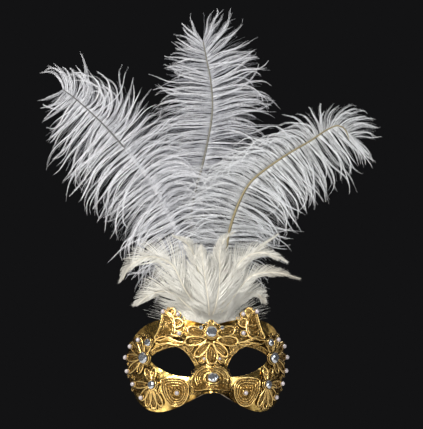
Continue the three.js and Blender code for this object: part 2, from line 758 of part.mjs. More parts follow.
const rightPlume = {
  foot: 1.05, span: 142, height: 238, lean: 3, firstBarb: 0.24,
  path: [
    { across: 0.06, height: 0.259 },
    { across: 0.103, height: 0.406 },
    { across: 0.139, height: 0.55 },
    { across: 0.212, height: 0.676 },
    { across: 0.292, height: 0.758 },
    { across: 0.443, height: 0.832 },
    { across: 0.585, height: 0.888 },
    { across: 0.725, height: 0.936 },
    { across: 0.85, height: 0.985 },
    { across: 0.92, height: 1 },
    { across: 0.972, height: 0.983 },
    { across: 1, height: 0.94 },
  ],
  barbs: {
    inner: [
      { at: 0.24, length: 0.45, root: 165, tip: 215 },
      { at: 0.38, length: 0.5, root: 172, tip: 205 },
      { at: 0.48, length: 0.58, root: 160, tip: 235 },
      { at: 0.56, length: 0.6, root: 148, tip: 256 },
      { at: 0.65, length: 0.56, root: 140, tip: 264 },
      { at: 0.73, length: 0.51, root: 136, tip: 268 },
      { at: 0.8, length: 0.42, root: 130, tip: 266 },
      { at: 0.845, length: 0.34, root: 118, tip: 240 },
      { at: 0.875, length: 0.28, root: 92, tip: 70 },
      { at: 0.91, length: 0.32, root: 66, tip: -30 },
      { at: 1, length: 0.36, root: 14, tip: -35 },
    ],
    outer: [
      { at: 0.24, length: 0.48, root: 0, tip: -62 },
      { at: 0.38, length: 0.54, root: -2, tip: -54 },
      { at: 0.48, length: 0.58, root: -14, tip: -60 },
      { at: 0.56, length: 0.64, root: -26, tip: -68 },
      { at: 0.65, length: 0.61, root: -38, tip: -78 },
      { at: 0.73, length: 0.58, root: -46, tip: -84 },
      { at: 0.8, length: 0.58, root: -52, tip: -88 },
      { at: 0.87, length: 0.56, root: -54, tip: -88 },
      { at: 0.93, length: 0.47, root: -46, tip: -74 },
      { at: 1, length: 0.4, root: -42, tip: -52 },
    ],
  },
};

// A short feather of the tuft: a quill that opens into a cupped blade. The spine's rows are shares
// of tuftSpread and tuftHeight, blade is a share of tuftBlade, and layer counts forward from the
// plumes in steps of tuftLayer.
function tuftFeather({ foot, layer, blade, spine }) {
  const stem = quillStart(foot * quillPitch, tuftRowLift, quillFoot);
  const rowDepth = stem[stem.length - 1].y;
  const free = spine.map((row) => {
    const z = tuftHeight * row.height;
    const forward = tuftLayer * layer * smooth(z, fanStart, fanEnd);
    return new THREE.Vector3(tuftSpread * row.across, rowDepth - forward, z);
  });
  const line = new THREE.CatmullRomCurve3([...stem, ...free], false, "centripetal");
  const brow = stem.length - 1;
  const tip = brow + free.length;
  const stations = [0, brow - 1, brow, ...free.flatMap((_, row) => [brow + row + 0.5, brow + row + 1])];
  const sections = stations.map((station) => {
    const centre = line.getPoint(station / tip);
    const ahead = line.getTangent(station / tip);
    const across = new THREE.Vector3(0, 1, 0).cross(ahead).normalize();
    const open = Math.max(0, (station - brow) / (tip - brow));
    const swell = Math.sin(Math.PI * (0.94 * open) ** 0.8) * smooth(centre.z, fanStart + 3, fanEnd + 6);
    const half = tuftQuill / 2 + tuftBlade * blade * swell;
    const thick = (tuftQuill / 2) * (1 - 0.55 * open);
    return [
      centre.clone().addScaledVector(across, half),
      centre.clone().setY(centre.y - thick),
      centre.clone().addScaledVector(across, -half),
      centre.clone().setY(centre.y + thick),
    ];
  });
  return skin(sections);
}

const tuft = {
  tuft_centre_left: {
    foot: -0.6, layer: 7.2, blade: 1,
    spine: [{ across: -0.05, height: 0.46 }, { across: -0.1, height: 0.69 }, { across: -0.13, height: 0.89 }],
  },
  tuft_centre_right: {
    foot: 0.6, layer: 6, blade: 1,
    spine: [{ across: 0.045, height: 0.46 }, { across: 0.08, height: 0.69 }, { across: 0.07, height: 0.91 }],
  },
  tuft_left_low: {
    foot: -3.2, layer: 5, blade: 1,
    spine: [
      { across: -0.3, height: 0.555 }, { across: -0.47, height: 0.76 }, { across: -0.71, height: 0.808 },
      { across: -0.91, height: 0.738 }, { across: -1.0, height: 0.62 },
    ],
  },
  tuft_right_low: {
    foot: 2.5, layer: 5, blade: 0.8,
    spine: [
      { across: 0.15, height: 0.5 }, { across: 0.3, height: 0.76 }, { across: 0.5, height: 0.84 },
      { across: 0.72, height: 0.81 }, { across: 0.83, height: 0.77 },
    ],
  },
  tuft_left_mid: {
    foot: -1.8, layer: 3.8, blade: 0.7,
    spine: [
      { across: -0.11, height: 0.55 }, { across: -0.19, height: 0.8 }, { across: -0.29, height: 0.92 },
      { across: -0.43, height: 0.97 },
    ],
  },
  tuft_right_tip: {
    foot: 3.5, layer: 4, blade: 0.55,
    spine: [
      { across: 0.22, height: 0.48 }, { across: 0.44, height: 0.66 }, { across: 0.69, height: 0.69 },
      { across: 1.01, height: 0.64 },
    ],
  },
  tuft_right_mid: {
    foot: 1.5, layer: 3, blade: 0.65,
    spine: [
      { across: 0.08, height: 0.58 }, { across: 0.1, height: 0.81 }, { across: 0.135, height: 0.94 },
      { across: 0.25, height: 1.0 },
    ],
  },
  tuft_left_fluff: {
    foot: -4.7, layer: 2, blade: 0.95,
    spine: [
      { across: -0.26, height: 0.43 }, { across: -0.47, height: 0.54 }, { across: -0.67, height: 0.52 },
      { across: -0.83, height: 0.44 },
    ],
  },
  tuft_right_high: {
    foot: 4.5, layer: 2, blade: 0.35,
    spine: [
      { across: 0.2, height: 0.58 }, { across: 0.39, height: 0.77 }, { across: 0.56, height: 0.89 },
      { across: 0.75, height: 0.985 },
    ],
  },
  tuft_right_fluff: {
    foot: 5.5, layer: 1, blade: 0.75,
    spine: [
      { across: 0.2, height: 0.41 }, { across: 0.36, height: 0.52 }, { across: 0.5, height: 0.53 },
      { across: 0.62, height: 0.46 },
    ],
  },
};

// The mask, its lace, its jewels and its feathers
addPiece("mask_shell", maskShell(), gold);
addPiece("brow_flower", browFlower(), lace);
addPiece("nose_shield", noseShield(), lace);
for (const [word, side] of [["left", -1], ["right", 1]]) {
  addPiece(`brow_crest_${word}`, browCrest(side), lace);
  addPiece(`temple_flower_${word}`, templeFlower(side), lace);
  addPiece(`cheek_fan_${word}`, cheekFan(side), lace);
  addPiece(`cheek_drop_${word}`, cheekDropPad(side), lace);
  addPiece(`lid_cord_${word}`, lidCord(side), lace);
}
for (const seatName of Object.keys(seats)) {
  if (seats[seatName].across === 0) addJewel(seatName, seatName, 1);
  else for (const [word, side] of [["left", -1], ["right", 1]]) addJewel(`${seatName}_${word}`, seatName, side);
}
addPiece("plume_centre", plume(centrePlume), ostrich);
addPiece("plume_left", plume(leftPlume), ostrich);
addPiece("plume_right", plume(rightPlume), ostrich);
for (const [name, feather] of Object.entries(tuft)) addPiece(name, tuftFeather(feather), hackle);

// The origin is inside the bridge of the nose.
mask.position.copy(facePoint(0, 0, -wallThickness)).negate();

export default mask;
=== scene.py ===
"""A gilded half mask with raised lace, set stones, pearls and a spray of white feathers.

Sizes are in millimetres up to the moment a mesh is made. X is to the right as seen from the front,
Y goes back into the face and Z is up. The face is laid out on its own surface: across is the
distance round the brow from the centre line, height is above the bridge of the nose, and lift is
the distance out from the surface.
"""

import logging
import math
from dataclasses import dataclass, field
from enum import Enum

import bmesh
import bpy
import numpy as np
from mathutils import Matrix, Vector

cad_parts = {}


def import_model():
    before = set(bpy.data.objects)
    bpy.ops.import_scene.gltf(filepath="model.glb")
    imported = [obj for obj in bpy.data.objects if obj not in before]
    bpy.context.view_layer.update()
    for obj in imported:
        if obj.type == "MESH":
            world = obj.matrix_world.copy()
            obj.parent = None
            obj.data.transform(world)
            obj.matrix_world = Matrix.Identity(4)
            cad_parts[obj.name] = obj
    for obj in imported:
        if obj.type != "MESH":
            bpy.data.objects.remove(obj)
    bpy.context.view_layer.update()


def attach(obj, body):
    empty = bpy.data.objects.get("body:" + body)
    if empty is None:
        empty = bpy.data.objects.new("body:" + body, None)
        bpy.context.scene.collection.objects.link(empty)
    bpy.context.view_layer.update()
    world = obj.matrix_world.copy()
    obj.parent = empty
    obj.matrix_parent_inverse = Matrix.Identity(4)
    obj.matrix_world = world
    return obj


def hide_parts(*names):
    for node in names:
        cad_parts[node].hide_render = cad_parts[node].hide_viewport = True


LOG = logging.getLogger("feather_mask")
MM = 0.001
RNG_SEED = 411


class Side(Enum):
    """The side of the mask, as seen from the front."""

    LEFT = -1
    RIGHT = 1

    @property
    def word(self) -> str:
        """The side's name in a piece's name."""
        return self.name.lower()


class Slot(Enum):
    """The material slots named for the pieces; they are passed along but not read."""

    PAPIER = "gilded_papier"
    LACE = "gilded_lace"
    CRYSTAL = "crystal"
    PEARL = "pearl"
    OSTRICH = "ostrich"
    HACKLE = "hackle"


# The surface of the face.


@dataclass(frozen=True)
class Form:
    """A soft hill or hollow of the face."""

    across: float
    height: float
    wide: float
    tall: float
    rise: float


@dataclass
class FaceSurface:
    """The outer surface of the mask's wall, and every place that is measured on it."""

    half_width: float = 81.0
    depth: float = 68.0
    reach: float = 104.0
    brow: float = 42.0
    cheek: float = 51.0
    wall: float = 2.4
    nose_rise: float = 19.0
    nose_half_width: float = 14.0
    nose_top: float = 18.0
    brow_slope: float = 4.0
    cheek_tuck: float = 3.0
    brow_top: float = 38.0
    crest_rise: float = 15.0
    crest_start: tuple[float, float] = (14.0, 25.0)
    side_fall: float = 12.0
    crest_end: tuple[float, float] = (52.0, 62.0)
    forward_lean: float = 1.3
    forms: tuple[Form, ...] = (
        Form(31.2, 23.1, 29.12, 13.44, 3.0),
        Form(39.52, -1.26, 21.84, 13.44, -5.5),
        Form(47.84, -27.72, 27.04, 15.96, 4.5),
    )
    outline: tuple[tuple[float, float, float], ...] = (
        (0.0, 0.88, 0.6), (0.08, 0.9, 0.64), (0.15, 0.94, 0.72), (0.25, 0.99, 0.83), (0.34, 1.0, 0.92),
        (0.45, 1.0, 0.985), (0.54, 0.965, 1.0), (0.64, 0.885, 0.96), (0.74, 0.76, 0.85),
        (0.82, 0.615, 0.7), (0.9, 0.46, 0.49), (0.96, 0.3, 0.28), (1.0, 0.14, 0.08),
    )
    shift: np.ndarray = field(default_factory=lambda: np.zeros(3))

    def __post_init__(self) -> None:
        """Measures the plan curve and puts the origin inside the bridge of the nose."""
        self._turn = np.linspace(0, math.radians(89), 2000)
        step = np.hypot(
            np.diff(self.half_width * np.sin(self._turn)), np.diff(-self.depth * np.cos(self._turn))
        )
        self._length = np.concatenate([[0.0], np.cumsum(step)])
        self.shift = -self.point(np.zeros(1), np.zeros(1), -self.wall)[0]

    def edge(self, across: np.ndarray) -> tuple[np.ndarray, np.ndarray]:
        """Gives the lower and upper edge of the mask.

        Args:
            across: Distances from the centre line.

        Returns:
            The heights of the lower and of the upper edge.
        """
        rows = np.array(self.outline)
        share = np.abs(across) / self.reach
        top = hermite(rows[:, 0], rows[:, 1], share)
        bottom = hermite(rows[:, 0], rows[:, 2], share)
        return -self.cheek * bottom, self.brow * top

    def relief(self, across: np.ndarray, height: np.ndarray) -> np.ndarray:
        """Adds up the hills and hollows of the face.

        Args:
            across: Distances from the centre line.
            height: Heights above the bridge.

        Returns:
            How far the face stands out from its plan curve.
        """
        total = np.zeros(np.broadcast(across, height).shape)
        for form in self.forms:
            side = (np.abs(across) - form.across) / form.wide
            up = (height - form.height) / form.tall
            total = total + form.rise * np.exp(-(side**2) - up**2)
        foot = -self.cheek * self.outline[0][2]
        down = np.clip((self.nose_top - height) / (self.nose_top - foot), 0, 1)
        width = self.nose_half_width * (0.6 + 0.4 * down)
        return total + self.nose_rise * down**1.6 * np.exp(-((across / width) ** 2))

    def place(self, across: np.ndarray, height: np.ndarray) -> np.ndarray:
        """Finds points on the outer surface.

        Args:
            across: Distances from the centre line.
            height: Heights above the bridge.

        Returns:
            Rows of x, y, z.
        """
        across, height = np.broadcast_arrays(np.asarray(across, float), np.asarray(height, float))
        side = np.where(across < 0, -1.0, 1.0)
        turn = np.interp(np.abs(across), self._length, self._turn)
        x, y = self.half_width * np.sin(turn), self.depth * (1 - np.cos(turn))
        dx, dy = self.half_width * np.cos(turn), self.depth * np.sin(turn)
        norm = np.hypot(dx, dy)
        relief = self.relief(across, height)
        tilt = np.where(
            height > 0,
            self.brow_slope * (height / self.brow) ** 2,
            self.cheek_tuck * (height / self.cheek) ** 2,
        )
        x = side * (x + relief * dy / norm)
        y = y - relief * dx / norm + tilt
        return np.stack([x, y, height * np.ones_like(x)], -1) + self.shift

    def normal(self, across: np.ndarray, height: np.ndarray) -> np.ndarray:
        """Finds the outward directions of the surface.

        Args:
            across: Distances from the centre line.
            height: Heights above the bridge.

        Returns:
            Rows of unit vectors.
        """
        step = 0.5
        sideways = self.place(across + step, height) - self.place(across - step, height)
        upward = self.place(across, height + step) - self.place(across, height - step)
        out = np.cross(sideways, upward)
        return out / np.linalg.norm(out, axis=-1, keepdims=True)

    def behind(self, points: np.ndarray, gap: float) -> np.ndarray:
        """Holds points behind the brow and its crests, up to their tops.

        Above the top of the brow, and of the crests on either side of it, points may lean forward again.

        Args:
            points: Rows of x, y, z.
            gap: How far behind the outer surface they stay.

        Returns:
            The points, moved back where they lay too far forward.
        """
        x, z = np.abs(points[..., 0]), points[..., 2]
        across = np.interp(x, self.half_width * np.sin(self._turn), self._length)
        crest = smoothstep(x, *self.crest_start)
        past_crest = smoothstep(x, *self.crest_end)
        top = self.brow_top + self.crest_rise * crest - self.side_fall * past_crest
        above = np.maximum(z - top, 0)
        limit = self.place(across, np.minimum(z, top))[..., 1] + gap - self.forward_lean * above
        held = points.copy()
        held[..., 1] = np.maximum(points[..., 1], limit)
        return held

    def point(
        self, across: np.ndarray, height: np.ndarray, lift: np.ndarray | float = 0.0
    ) -> np.ndarray:
        """Finds points at a lift from the surface.

        Args:
            across: Distances from the centre line.
            height: Heights above the bridge.
            lift: Distances out from the surface.

        Returns:
            Rows of x, y, z.
        """
        out = self.normal(np.asarray(across, float), np.asarray(height, float))
        return self.place(across, height) + out * np.asarray(lift, float)[..., None]


def hermite(stations: np.ndarray, values: np.ndarray, at: np.ndarray) -> np.ndarray:
    """Follows a smooth curve through values at stations.

    Args:
        stations: Growing stations.
        values: The value at each station.
        at: Where the curve is read.

    Returns:
        The curve's values.
    """
    slopes = np.empty_like(values)
    slopes[1:-1] = (values[2:] - values[:-2]) / (stations[2:] - stations[:-2])
    slopes[0] = (values[1] - values[0]) / (stations[1] - stations[0])
    slopes[-1] = (values[-1] - values[-2]) / (stations[-1] - stations[-2])
    at = np.clip(at, stations[0], stations[-1])
    k = np.clip(np.searchsorted(stations, at, side="right") - 1, 0, len(stations) - 2)
    span = stations[k + 1] - stations[k]
    u = (at - stations[k]) / span
    low = values[k] * (1 - 3 * u**2 + 2 * u**3) + slopes[k] * span * (u - 2 * u**2 + u**3)
    high = values[k + 1] * (3 * u**2 - 2 * u**3) + slopes[k + 1] * span * (u**3 - u**2)
    return low + high


def smooth_path(points: np.ndarray, count: int) -> np.ndarray:
    """Runs a rounded line through points and spaces it evenly.

    Args:
        points: The points, as rows.
        count: How many rows the line gets.

    Returns:
        The line, as rows.
    """
    points = np.asarray(points, float)
    ends = np.vstack([2 * points[0] - points[1], points, 2 * points[-1] - points[-2]])
    knots = np.concatenate([[0], np.cumsum(np.sqrt(np.linalg.norm(np.diff(ends, axis=0), axis=1)))])
    fine = []
    for k in range(1, len(ends) - 2):
        t = np.linspace(knots[k], knots[k + 1], 24, endpoint=k == len(ends) - 3)[:, None]
        p, s = ends[k - 1 : k + 3], knots[k - 1 : k + 3]
        a = [((s[i + 1] - t) * p[i] + (t - s[i]) * p[i + 1]) / (s[i + 1] - s[i]) for i in range(3)]
        b = [((s[i + 2] - t) * a[i] + (t - s[i]) * a[i + 1]) / (s[i + 2] - s[i]) for i in range(2)]
        fine.append(((s[2] - t) * b[0] + (t - s[1]) * b[1]) / (s[2] - s[1]))
    line = np.vstack(fine)
    length = np.concatenate([[0], np.cumsum(np.linalg.norm(np.diff(line, axis=0), axis=1))])
    even = np.linspace(0, length[-1], count)
    return np.stack([np.interp(even, length, line[:, i]) for i in range(line.shape[1])], -1)


def unit(vectors: np.ndarray) -> np.ndarray:
    """Scales vectors to length one."""
    return vectors / np.maximum(np.linalg.norm(vectors, axis=-1, keepdims=True), 1e-9)


def smoothstep(value: np.ndarray | float, low: float, high: float) -> np.ndarray | float:
    """Rises smoothly between two values.

    Args:
        value: Where it is read.
        low: Up to where it is 0.
        high: From where it is 1.

    Returns:
        The share from 0 to 1.
    """
    u = np.clip((np.asarray(value, float) - low) / (high - low), 0, 1)
    return u * u * (3 - 2 * u)


# Meshes from arrays.


@dataclass
class Batch:
    """Many small closed shapes, gathered into one mesh with a tone for each vertex."""

    points: list[np.ndarray] = field(default_factory=list)
    faces: list[np.ndarray] = field(default_factory=list)
    tones: list[np.ndarray] = field(default_factory=list)
    count: int = 0

    def add(self, points: np.ndarray, faces: list[np.ndarray], tones: np.ndarray) -> None:
        """Adds points with faces that count from the first of them.

        Args:
            points: Rows of x, y, z in millimetres.
            faces: Arrays of faces, each with one number of corners.
            tones: A tone from 0 to 1 for each point.
        """
        self.points.append(points.reshape(-1, 3))
        self.tones.append(np.broadcast_to(tones, points.shape[:-1]).reshape(-1))
        self.faces.extend(f.reshape(-1, f.shape[-1]) + self.count for f in faces)
        self.count += points.reshape(-1, 3).shape[0]

    def tubes(
        self,
        paths: np.ndarray,
        radii: np.ndarray,
        up: np.ndarray,
        tones: np.ndarray,
        sides: int = 3,
        flat: float = 1.0,
        closed: bool = False,
        twist: float = 0.0,
        top_highlight: float = 0.0,
    ) -> None:
        """Adds tapered tubes along paths.

        Args:
            paths: Lines by points by x, y, z.
            radii: A radius for each point of each line.
            up: The direction that a flattened tube is thin in.
            tones: A tone for each point of each line.
            sides: How many sides a tube has.
            flat: Its thickness as a share of its width.
            closed: Whether each line is a loop.
            twist: Turns of a two-ply cord along each line.
            top_highlight: A painted highlight: how much brighter the side towards up is painted.
        """
        lines, steps = paths.shape[:2]
        if closed:
            ahead = unit(np.roll(paths, -1, 1) - np.roll(paths, 1, 1))
        else:
            ahead = unit(np.gradient(paths, axis=1))
        side = unit(np.cross(np.broadcast_to(up, paths.shape), ahead))
        lift = np.cross(ahead, side)
        angle = 2 * np.pi * np.arange(sides) / sides
        ring = np.broadcast_to(radii, (lines, steps))[..., None] * np.ones(sides)
        if twist:
            phase = np.linspace(0, 2 * np.pi * twist, steps, endpoint=not closed)
            ring = ring * (1 + 0.2 * np.cos(2 * angle[None, None] - phase[None, :, None]))
        shape = (
            paths[:, :, None]
            + side[:, :, None] * (ring * np.cos(angle))[..., None]
            + lift[:, :, None] * (flat * ring * np.sin(angle))[..., None]
        )
        index = np.arange(lines * steps * sides).reshape(lines, steps, sides)
        ahead_index = np.roll(index, -1, 1) if closed else index[:, 1:]
        here = index if closed else index[:, :-1]
        quads = np.stack(
            [here, np.roll(here, -1, 2), np.roll(ahead_index, -1, 2), ahead_index], -1
        )
        faces = [quads]
        if not closed:
            faces += [index[:, 0, ::-1], index[:, -1]]
        # The side towards up is painted brighter, as a painted highlight.
        self.add(shape, faces, np.broadcast_to(tones, (lines, steps))[..., None] + top_highlight * np.sin(angle))

    def needles(
        self, roots: np.ndarray, tips: np.ndarray, radius: float, up: np.ndarray, tones: np.ndarray
    ) -> None:
        """Adds three-sided needles from roots to tips.

        Args:
            roots: Rows of x, y, z.
            tips: Rows of x, y, z.
            radius: The radius at the root.
            up: A direction that isn't along any needle.
            tones: A tone for each needle.
        """
        ahead = unit(tips - roots)
        side = unit(np.cross(np.broadcast_to(up, roots.shape), ahead))
        lift = np.cross(ahead, side)
        corners = [
            roots + radius * (side * math.cos(a) + lift * math.sin(a))
            for a in (0, 2 * math.pi / 3, 4 * math.pi / 3)
        ]
        points = np.stack([*corners, tips], 1)
        index = np.arange(len(roots) * 4).reshape(-1, 4)
        faces = [index[:, [0, 1, 3]], index[:, [1, 2, 3]], index[:, [2, 0, 3]], index[:, [2, 1, 0]]]
        self.add(points, faces, np.asarray(tones)[..., None] * np.ones(4))

    def copies(
        self,
        template: "Template",
        places: np.ndarray,
        frames: np.ndarray,
        sizes: np.ndarray,
        tones: np.ndarray,
        top_highlight: float = 0.0,
    ) -> None:
        """Adds copies of a small shape.

        Args:
            template: The shape, with its third axis out.
            places: Rows of x, y, z.
            frames: Three axes for each place.
            sizes: A size for each place, or three.
            tones: A tone for each place.
            top_highlight: A painted highlight: how much brighter the outer side is painted.
        """
        scaled = template.points[None] * np.asarray(sizes, float).reshape(len(places), 1, -1)
        points = places[:, None] + np.einsum("nvk,nkx->nvx", scaled, frames)
        base = np.arange(len(places))[:, None, None] * len(template.points)
        faces = [(f[None] + base).reshape(-1, f.shape[-1]) for f in template.faces]
        # The outer side is painted brighter, as a painted highlight.
        self.add(points, faces, np.asarray(tones)[..., None] + top_highlight * template.points[:, 2])

    def mesh(self, name: str, smooth: bool = True) -> bpy.types.Object:
        """Makes one mesh of everything added.

        Args:
            name: The piece's name.
            smooth: Whether it is shaded smooth.

        Returns:
            The piece, at the origin.
        """
        data = bpy.data.meshes.new(name)
        points = np.concatenate(self.points) * MM
        corners = np.concatenate([f.reshape(-1) for f in self.faces])
        sizes = np.concatenate([np.full(len(f), f.shape[-1]) for f in self.faces])
        data.vertices.add(len(points))
        data.vertices.foreach_set("co", points.astype(np.float32).reshape(-1))
        data.loops.add(len(corners))
        data.loops.foreach_set("vertex_index", corners.astype(np.int32))
        data.polygons.add(len(sizes))
        starts = np.concatenate([[0], np.cumsum(sizes)[:-1]])
        data.polygons.foreach_set("loop_start", starts.astype(np.int32))
        data.polygons.foreach_set("use_smooth", np.full(len(sizes), smooth))
        tone = data.attributes.new("tone", "FLOAT", "POINT")
        tone.data.foreach_set("value", np.concatenate(self.tones).astype(np.float32))
        data.update(calc_edges=True)
        data.validate()
        made = bpy.data.objects.new(name, data)
        bpy.context.scene.collection.objects.link(made)
        return made


@dataclass
class Template:
    """A small shape that is copied many times."""

    points: np.ndarray
    faces: list[np.ndarray]

    @classmethod
    def of(cls, shape: bmesh.types.BMesh) -> "Template":
        """Reads a template from a bmesh, and frees it.

        Args:
            shape: The shape.

        Returns:
            The template.
        """
        shape.verts.ensure_lookup_table()
        points = np.array([v.co[:] for v in shape.verts])
        by_size: dict[int, list[list[int]]] = {}
        for face in shape.faces:
            by_size.setdefault(len(face.verts), []).append([v.index for v in face.verts])
        shape.free()
        return cls(points, [np.array(rows) for rows in by_size.values()])

    @classmethod
    def ball(cls, rings: int, around: int) -> "Template":
        """Makes a round ball of radius one.

        Args:
            rings: How many bands it has from pole to pole.
            around: How many sides it has.

        Returns:
            The ball.
        """
        shape = bmesh.new()
        bmesh.ops.create_uvsphere(shape, u_segments=around, v_segments=rings, radius=1.0)
        return cls.of(shape)


def dress(
    piece: bpy.types.Object, material: bpy.types.Material, slot: Slot, *nodes: str
) -> bpy.types.Object:
    """Gives a piece its finish and ties it to the solids it stands for.

    Args:
        piece: The finished piece.
        material: Its finish.
        slot: The slot that finish belongs to; not used.
        nodes: The solids that it stands for.

    Returns:
        The same piece.
    """
    if not piece.data.materials:
        piece.data.materials.append(material)
    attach(piece, "root")
    if nodes:
        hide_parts(*nodes)
    faces = sum(len(p.vertices) - 2 for p in piece.data.polygons)
    LOG.info("%s: %d triangles", piece.name, faces)
    return piece


# Finishes.


@dataclass(frozen=True)
class Finish:
    """A surface finish, built as one principled shader with a pattern in its colour and bump.

    The tone of each vertex and half of a noise run up a ramp, from the dark colour to the full one.
    """

    name: str
    color: tuple[float, float, float]
    dark: tuple[float, float, float]
    roughness: float = 0.5
    metallic: float = 0.0
    grain: float = 600.0
    grain_depth: float = 0.0
    sheen: float = 0.0
    coat: float = 0.0
    specular: float = 0.5
    coat_roughness: float = 0.12
    grain_detail: float = 4.0
    grain_share: float = 0.5
    ramp: tuple[float, float] = (0.22, 0.95)
    bump_strength: float = 0.6

    def build(self) -> bpy.types.Material:
        """Builds the material: dark where the tone is low, as in the painted shade of the hollows, and
        bright where it is high, as on painted highlights.

        Returns:
            The material.
        """
        made = bpy.data.materials.new(self.name)
        made.use_nodes = True
        nodes, links = made.node_tree.nodes, made.node_tree.links
        shader = nodes["Principled BSDF"]
        shader.inputs["Metallic"].default_value = self.metallic
        shader.inputs["Roughness"].default_value = self.roughness
        shader.inputs["Specular IOR Level"].default_value = self.specular
        shader.inputs["Sheen Weight"].default_value = self.sheen
        shader.inputs["Coat Weight"].default_value = self.coat
        shader.inputs["Coat Roughness"].default_value = self.coat_roughness
        tone = nodes.new("ShaderNodeAttribute")
        tone.attribute_name = "tone"
        place = nodes.new("ShaderNodeTexCoord")
        noise = nodes.new("ShaderNodeTexNoise")
        noise.inputs["Scale"].default_value = self.grain
        noise.inputs["Detail"].default_value = self.grain_detail
        links.new(place.outputs["Object"], noise.inputs["Vector"])
        blend = nodes.new("ShaderNodeMath")
        blend.operation = "MULTIPLY_ADD"
        blend.inputs[1].default_value = self.grain_share
        links.new(noise.outputs["Fac"], blend.inputs[0])
        links.new(tone.outputs["Fac"], blend.inputs[2])
        ramp = nodes.new("ShaderNodeValToRGB")
        for element, position, color in zip(ramp.color_ramp.elements, self.ramp, (self.dark, self.color)):
            element.position, element.color = position, (*color, 1.0)
        links.new(blend.outputs["Value"], ramp.inputs["Fac"])
        links.new(ramp.outputs["Color"], shader.inputs["Base Color"])
        if self.grain_depth:
            bump = nodes.new("ShaderNodeBump")
            bump.inputs["Strength"].default_value = self.bump_strength
            bump.inputs["Distance"].default_value = self.grain_depth * MM
            links.new(noise.outputs["Fac"], bump.inputs["Height"])
            links.new(bump.outputs["Normal"], shader.inputs["Normal"])
        return made


GOLD_LEAF = Finish(
    "gold_leaf", (1.0, 0.69, 0.22), (0.12, 0.06, 0.01), 0.25, 1.0, grain=90.0, grain_depth=0.9
)
GILDED_CORD = Finish(
    "gilded_cord", (1.0, 0.7, 0.27), (0.05, 0.02, 0.004), 0.27, 1.0, grain=1100.0, grain_depth=0.15
)
GILDED_NET = Finish(
    "gilded_net", (0.74, 0.44, 0.12), (0.012, 0.005, 0.001), 0.34, 1.0, grain=1500.0, grain_depth=0.4
)
BARE_PAPIER = Finish(
    "bare_papier", (0.72, 0.64, 0.5), (0.55, 0.47, 0.34), 0.85, grain=260.0, grain_depth=0.3
)
CRYSTAL = Finish(
    "crystal_glass", (0.78, 0.82, 0.88), (0.3, 0.33, 0.39), 0.02, 0.85, grain=60.0, coat=1.0
)
PEARL = Finish(
    "pearl_lustre", (0.6, 0.55, 0.58), (0.46, 0.41, 0.45), 0.2, 0.2, grain=300.0, sheen=0.3, coat=0.8
)
OSTRICH_COOL = Finish(
    "ostrich_cool", (0.92, 0.93, 0.97), (0.4, 0.41, 0.45), 0.7, grain=150.0, sheen=0.25, specular=0.2
)
OSTRICH_WARM = Finish(
    "ostrich_warm", (0.9, 0.92, 0.95), (0.42, 0.43, 0.44), 0.7, grain=150.0, sheen=0.25, specular=0.2
)
HACKLE = Finish(
    "hackle_cream", (0.97, 0.96, 0.9), (0.6, 0.57, 0.5), 0.6, grain=200.0, sheen=0.25, specular=0.25
)
SHAFT_OLIVE = Finish("shaft_olive", (0.189, 0.184, 0.149), (0.108, 0.104, 0.081), 0.45, grain=200.0)
SHAFT_OCHRE = Finish("shaft_ochre", (0.297, 0.252, 0.135), (0.18, 0.144, 0.0675), 0.45, grain=200.0)
SHAFT_GREY = Finish("shaft_grey", (0.153, 0.153, 0.153), (0.09, 0.09, 0.09), 0.45, grain=200.0)
SHAFT_CREAM = Finish("shaft_cream", (0.9, 0.86, 0.74), (0.7, 0.64, 0.5), 0.4, grain=200.0)
STUDIO_FLOOR = Finish("studio_floor", (0.74, 0.73, 0.71), (0.7, 0.69, 0.67), 0.8, grain=4.0)


# The mask's wall.


